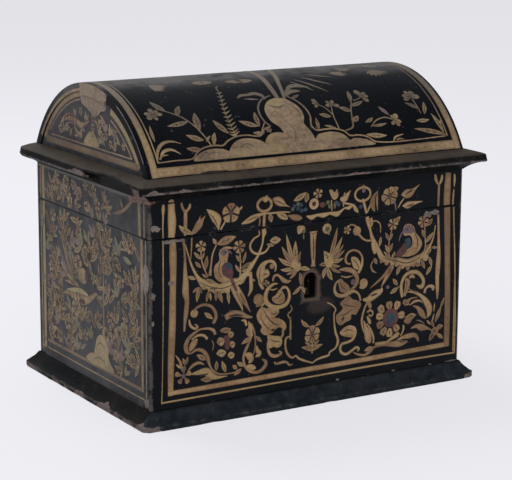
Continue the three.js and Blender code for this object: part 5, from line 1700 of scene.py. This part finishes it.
def side_painting(seed):
    made = Painting(seed)
    made.draw("""
    gold -70.6 13.4 1.4, -70.4 60 1.5, -70 109.8 1.4
    gold -66.6 15 4, -66.4 40 3.8, -66.2 75 4, -66 109.8 3.8
    gold 66.8 19.6 2.6, 66.8 45 3, 66.6 75 3.2, 66.6 109.8 3.6
    gold 71.6 15 .9, 71.8 50 1, 71.6 109.8 1
    """)
    made.band((-68.4, 20.6), (68, 20.6), 2.2, 0.05)
    made.band((-70.6, 15.6), (71.8, 15.4), 0.9, 0.08)
    made.draw("""
    blob -6 21.4, -2.4 26.4, 3 28, 5.4 33, 8 38.6, 13.6 41.4, 20 39.8, 23.6 35, 22.6 30, 25 26.4, 28.6 21.4
    green 7 33 .3, 12 36 .8, 18 34 .3
    green 3 24 .3, 10 26.4 .7, 18 25 .3
    gold 17 40 2.2, 17.2 52 1.8, 17 66 1.7, 17.6 79 1.1
    """)
    # the bird: long tail on the left, head on the right
    made.draw("""
    gold -38 57 .6, -30 58 3.4, -20 57.4 5.6, -11 57.6 6.4, -3 59.6 4.6, 3 62.6 3.4, 7 65 2.2, 10 65 .3
    cream -34 59.4 .8, -24 61.4 2.6, -13 62.6 3.2, -4 62 1
    red -17 55.6 .8, -13 56.4 3.2, -8 57 1.6
    gold -38 69.6 .5, -30 68.8 2.2, -22 66.8 2.4, -16 64.6 .6
    gold -37 65 .5, -29 65 1.8, -21 64.4 .6
    leaf rose -19 64 -47 88 2.4 2.4
    leaf -19 64 -41 93 2.6 2.4
    leaf olive -19 64 -34 96 2.4 2.4
    leaf -19 64 -50 79 2.2 2.4
    leaf rose -19 64 -27 93 2.2 2.4
    blob -17 72, -14 76.6, -9 77.4, -5 74.4, -5.4 69.6, -10.6 68, -15.6 69
    blob red -7.4 76, -4.4 76, -3 72, -5 69, -7.4 71
    """)
    for i in range(5):
        made.brush((-31 + i * 5, 59.6, 0.2), (-29 + i * 5, 57, 0.5), (-30 + i * 5, 54.8, 0.2), colour="vein")
    for across, height, size, petals in ((-48, 48, 6.4, 7), (-32, 85, 5, 6), (-56, 70, 3.6, 5), (-52, 103, 4, 5),
                                         (56, 73.6, 4.8, 6), (44, 52, 4.4, 6), (54, 35, 4.4, 6), (33, 33, 3.6, 5),
                                         (19, 83.6, 4.2, 5), (-16, 99, 4, 5), (8, 92, 4, 6), (53, 102, 4, 5),
                                         (-34, 38, 4, 5), (36, 80, 4, 5), (-6, 84, 4.4, 6)):
        made.flower(across, height, size, petals, centre=made.chance.choice(hearts), turn=made.chance.uniform(0, 60))
    made.draw("""
    gold -58 30 .5, -50 31.4 1.7, -44 27 .4
    gold -50 24.6 .5, -45 25.8 1.5, -40 23.6 .4
    gold -37 24 .5, -32 29.8 1.8, -26 30 .4
    gold -30 24 .5, -27 27.6 1.6, -22 28.4 .4
    gold -26 37 .5, -20 40.4 1.7, -13 39.6 .4
    gold 30 94 .6, 40 99 1.4, 52 99.6 .5
    gold -58 54 .5, -48 58 1.5, -40 54 .4
    """)

    def free(across, height):
        bird = -40 < across < 11 and 53 < height < 71 or -18 < across < -2 and 66 < height < 79
        bird = bird or -50 < across < -20 and abs(height - 60 - (-16 - across) * 1.1) < 9
        mound = (across - 12) ** 2 / 400 + (height - 24) ** 2 / 420 < 1
        big = math.hypot(across + 48, height - 48) < 7 or abs(across - 17) < 2.6 and height < 80
        return not bird and not mound and not big

    count = scatter(made, (-61, 25, 62, 106), 7.2, 10.6, free, 5000)
    print("a side has", count, "small leaves and flowers")
    return made


# %% The lid's band on a side
def lid_side_painting(seed):
    made = Painting(seed)
    made.draw("""
    gold -70 111.3 1.4, -69.8 132.6 1.4
    gold -66 111.3 3.8, -66.2 122 4, -66.2 132.6 3.6
    gold 64.4 111.3 3.4, 64.2 121 3.6, 64 131 3.2
    gold 70 111.3 .9, 70 131 .8
    gold 31 118.8 .6, 38 120.4 2.2, 45 123 2, 51 127 2.4, 57 130.6 .5
    leaf 44 123 40 129 2.2
    """)
    for across, height, size in ((-47.4, 124.4, 4.4), (-37.6, 121, 3.8), (-22.6, 127.4, 3.6), (-14.6, 123, 4),
                                 (5.4, 128, 3.6), (10, 120, 4), (21, 122.6, 3), (-56, 118, 3.4), (-5, 117, 3.2),
                                 (-27, 117, 3.2)):
        made.flower(across, height, size, 5, centre=made.chance.choice(hearts), turn=made.chance.uniform(0, 60))
    scatter(made, (-60, 114.6, 26, 129), 6.6, 9, tries=1500)
    return made


# %% The left side, which is worn, and the right side
left_side = side_painting(21)
left_side.draw("""
spot 71.4 91 8 10, 71 84 8 11, 73.6 88 5 16, -68 97 6 9, -69 60 4 8, 72.4 14 5.4 7, 71.8 27 1.4 13
vein -63.6 108 .5, -63.8 98 1, -63.6 85 .5
vein -63.8 48 .4, -63.6 30 .9, -64 13 1.2
disc vein -1.6 86.4 2.6
""")
lay(left_side, "left_painting", on_left, "box", gold="side gold")
lay(lid_side_painting(22), "lid_left_painting", on_left, "lid", gold="side gold")
lay(side_painting(23), "right_painting", on_right, "box", gold="side gold")
lay(lid_side_painting(24), "lid_right_painting", on_right, "lid", gold="side gold")


# %% The back of the box
def back_painting():
    made = Painting(31)
    made.brush((-101, 14.6, 1), (-101, 60, 0.9), (-101.1, 109.8, 1))
    made.band((-101.4, 14.8), (103.4, 14.8), 1.1, 0.08)
    made.draw("""
    gold 103 14.6 1, 103.2 60 .9, 103 109.8 1
    gold -96 18.4 4, -95.6 60 4.4, -95.6 109.8 4.2
    gold 97.8 18.4 4, 97.8 60 4.4, 97.6 109.8 4.2
    """)
    made.band((-97.8, 19.8), (99.6, 19.8), 3, 0.05)
    made.blob((-20, 21.2), (-16, 29), (-8, 33), (2, 38), (12, 33), (20, 29), (24, 21.2))
    for side in (-1, 1):
        for points, leaves, size, stem, flower, petals, first in (
                (((4, 36), (14, 52), (34, 60), (52, 50)), 8, 9, 1.4, 6.4, 8, 1),
                (((30, 59), (44, 72), (62, 76), (78, 66)), 8, 8, 1.1, 5, 6, -1),
                (((86, 24), (78, 38), (64, 42), (56, 34)), 6, 8, 1, 4.4, 6, 1),
                (((88, 98), (74, 92), (58, 96), (44, 90)), 7, 7, 1, 4.4, 6, 1)):
            mirrored = [(side * across, height) for across, height in points]
            made.sprig(mirrored, leaves, size, stem, flower, petals, first)
    made.sprig([(2, 38), (0, 56), (4, 74), (1, 92)], 10, 8, stem=1.4, flower=6, petals=8)

    def free(across, height):
        strap = any(abs(across - a) < 11 and height > 74 for a in (-62, 62))
        return not strap and not (abs(across) < 24 and height < 40)

    scatter(made, (-90, 25, 92, 107), 9, 7, free, 2500)
    return made


# %% The back of the lid
def lid_back_painting():
    made = Painting(32)
    made.draw("""
    gold -95.6 111.3 4.2, -95.6 131 4
    gold 97.6 111.3 4.2, 97.6 131 4
    gold -101 111.3 1, -101 130 1.2
    gold 103 111.3 1, 103 130 1.2
    """)
    scatter(made, (-88, 114, 90, 129), 7, 7, lambda a, h: abs(abs(a) - 62) > 13, 1500)
    return made


lay(back_painting(), "back_painting", on_back, "box")
lay(lid_back_painting(), "lid_back_painting", on_back, "lid")
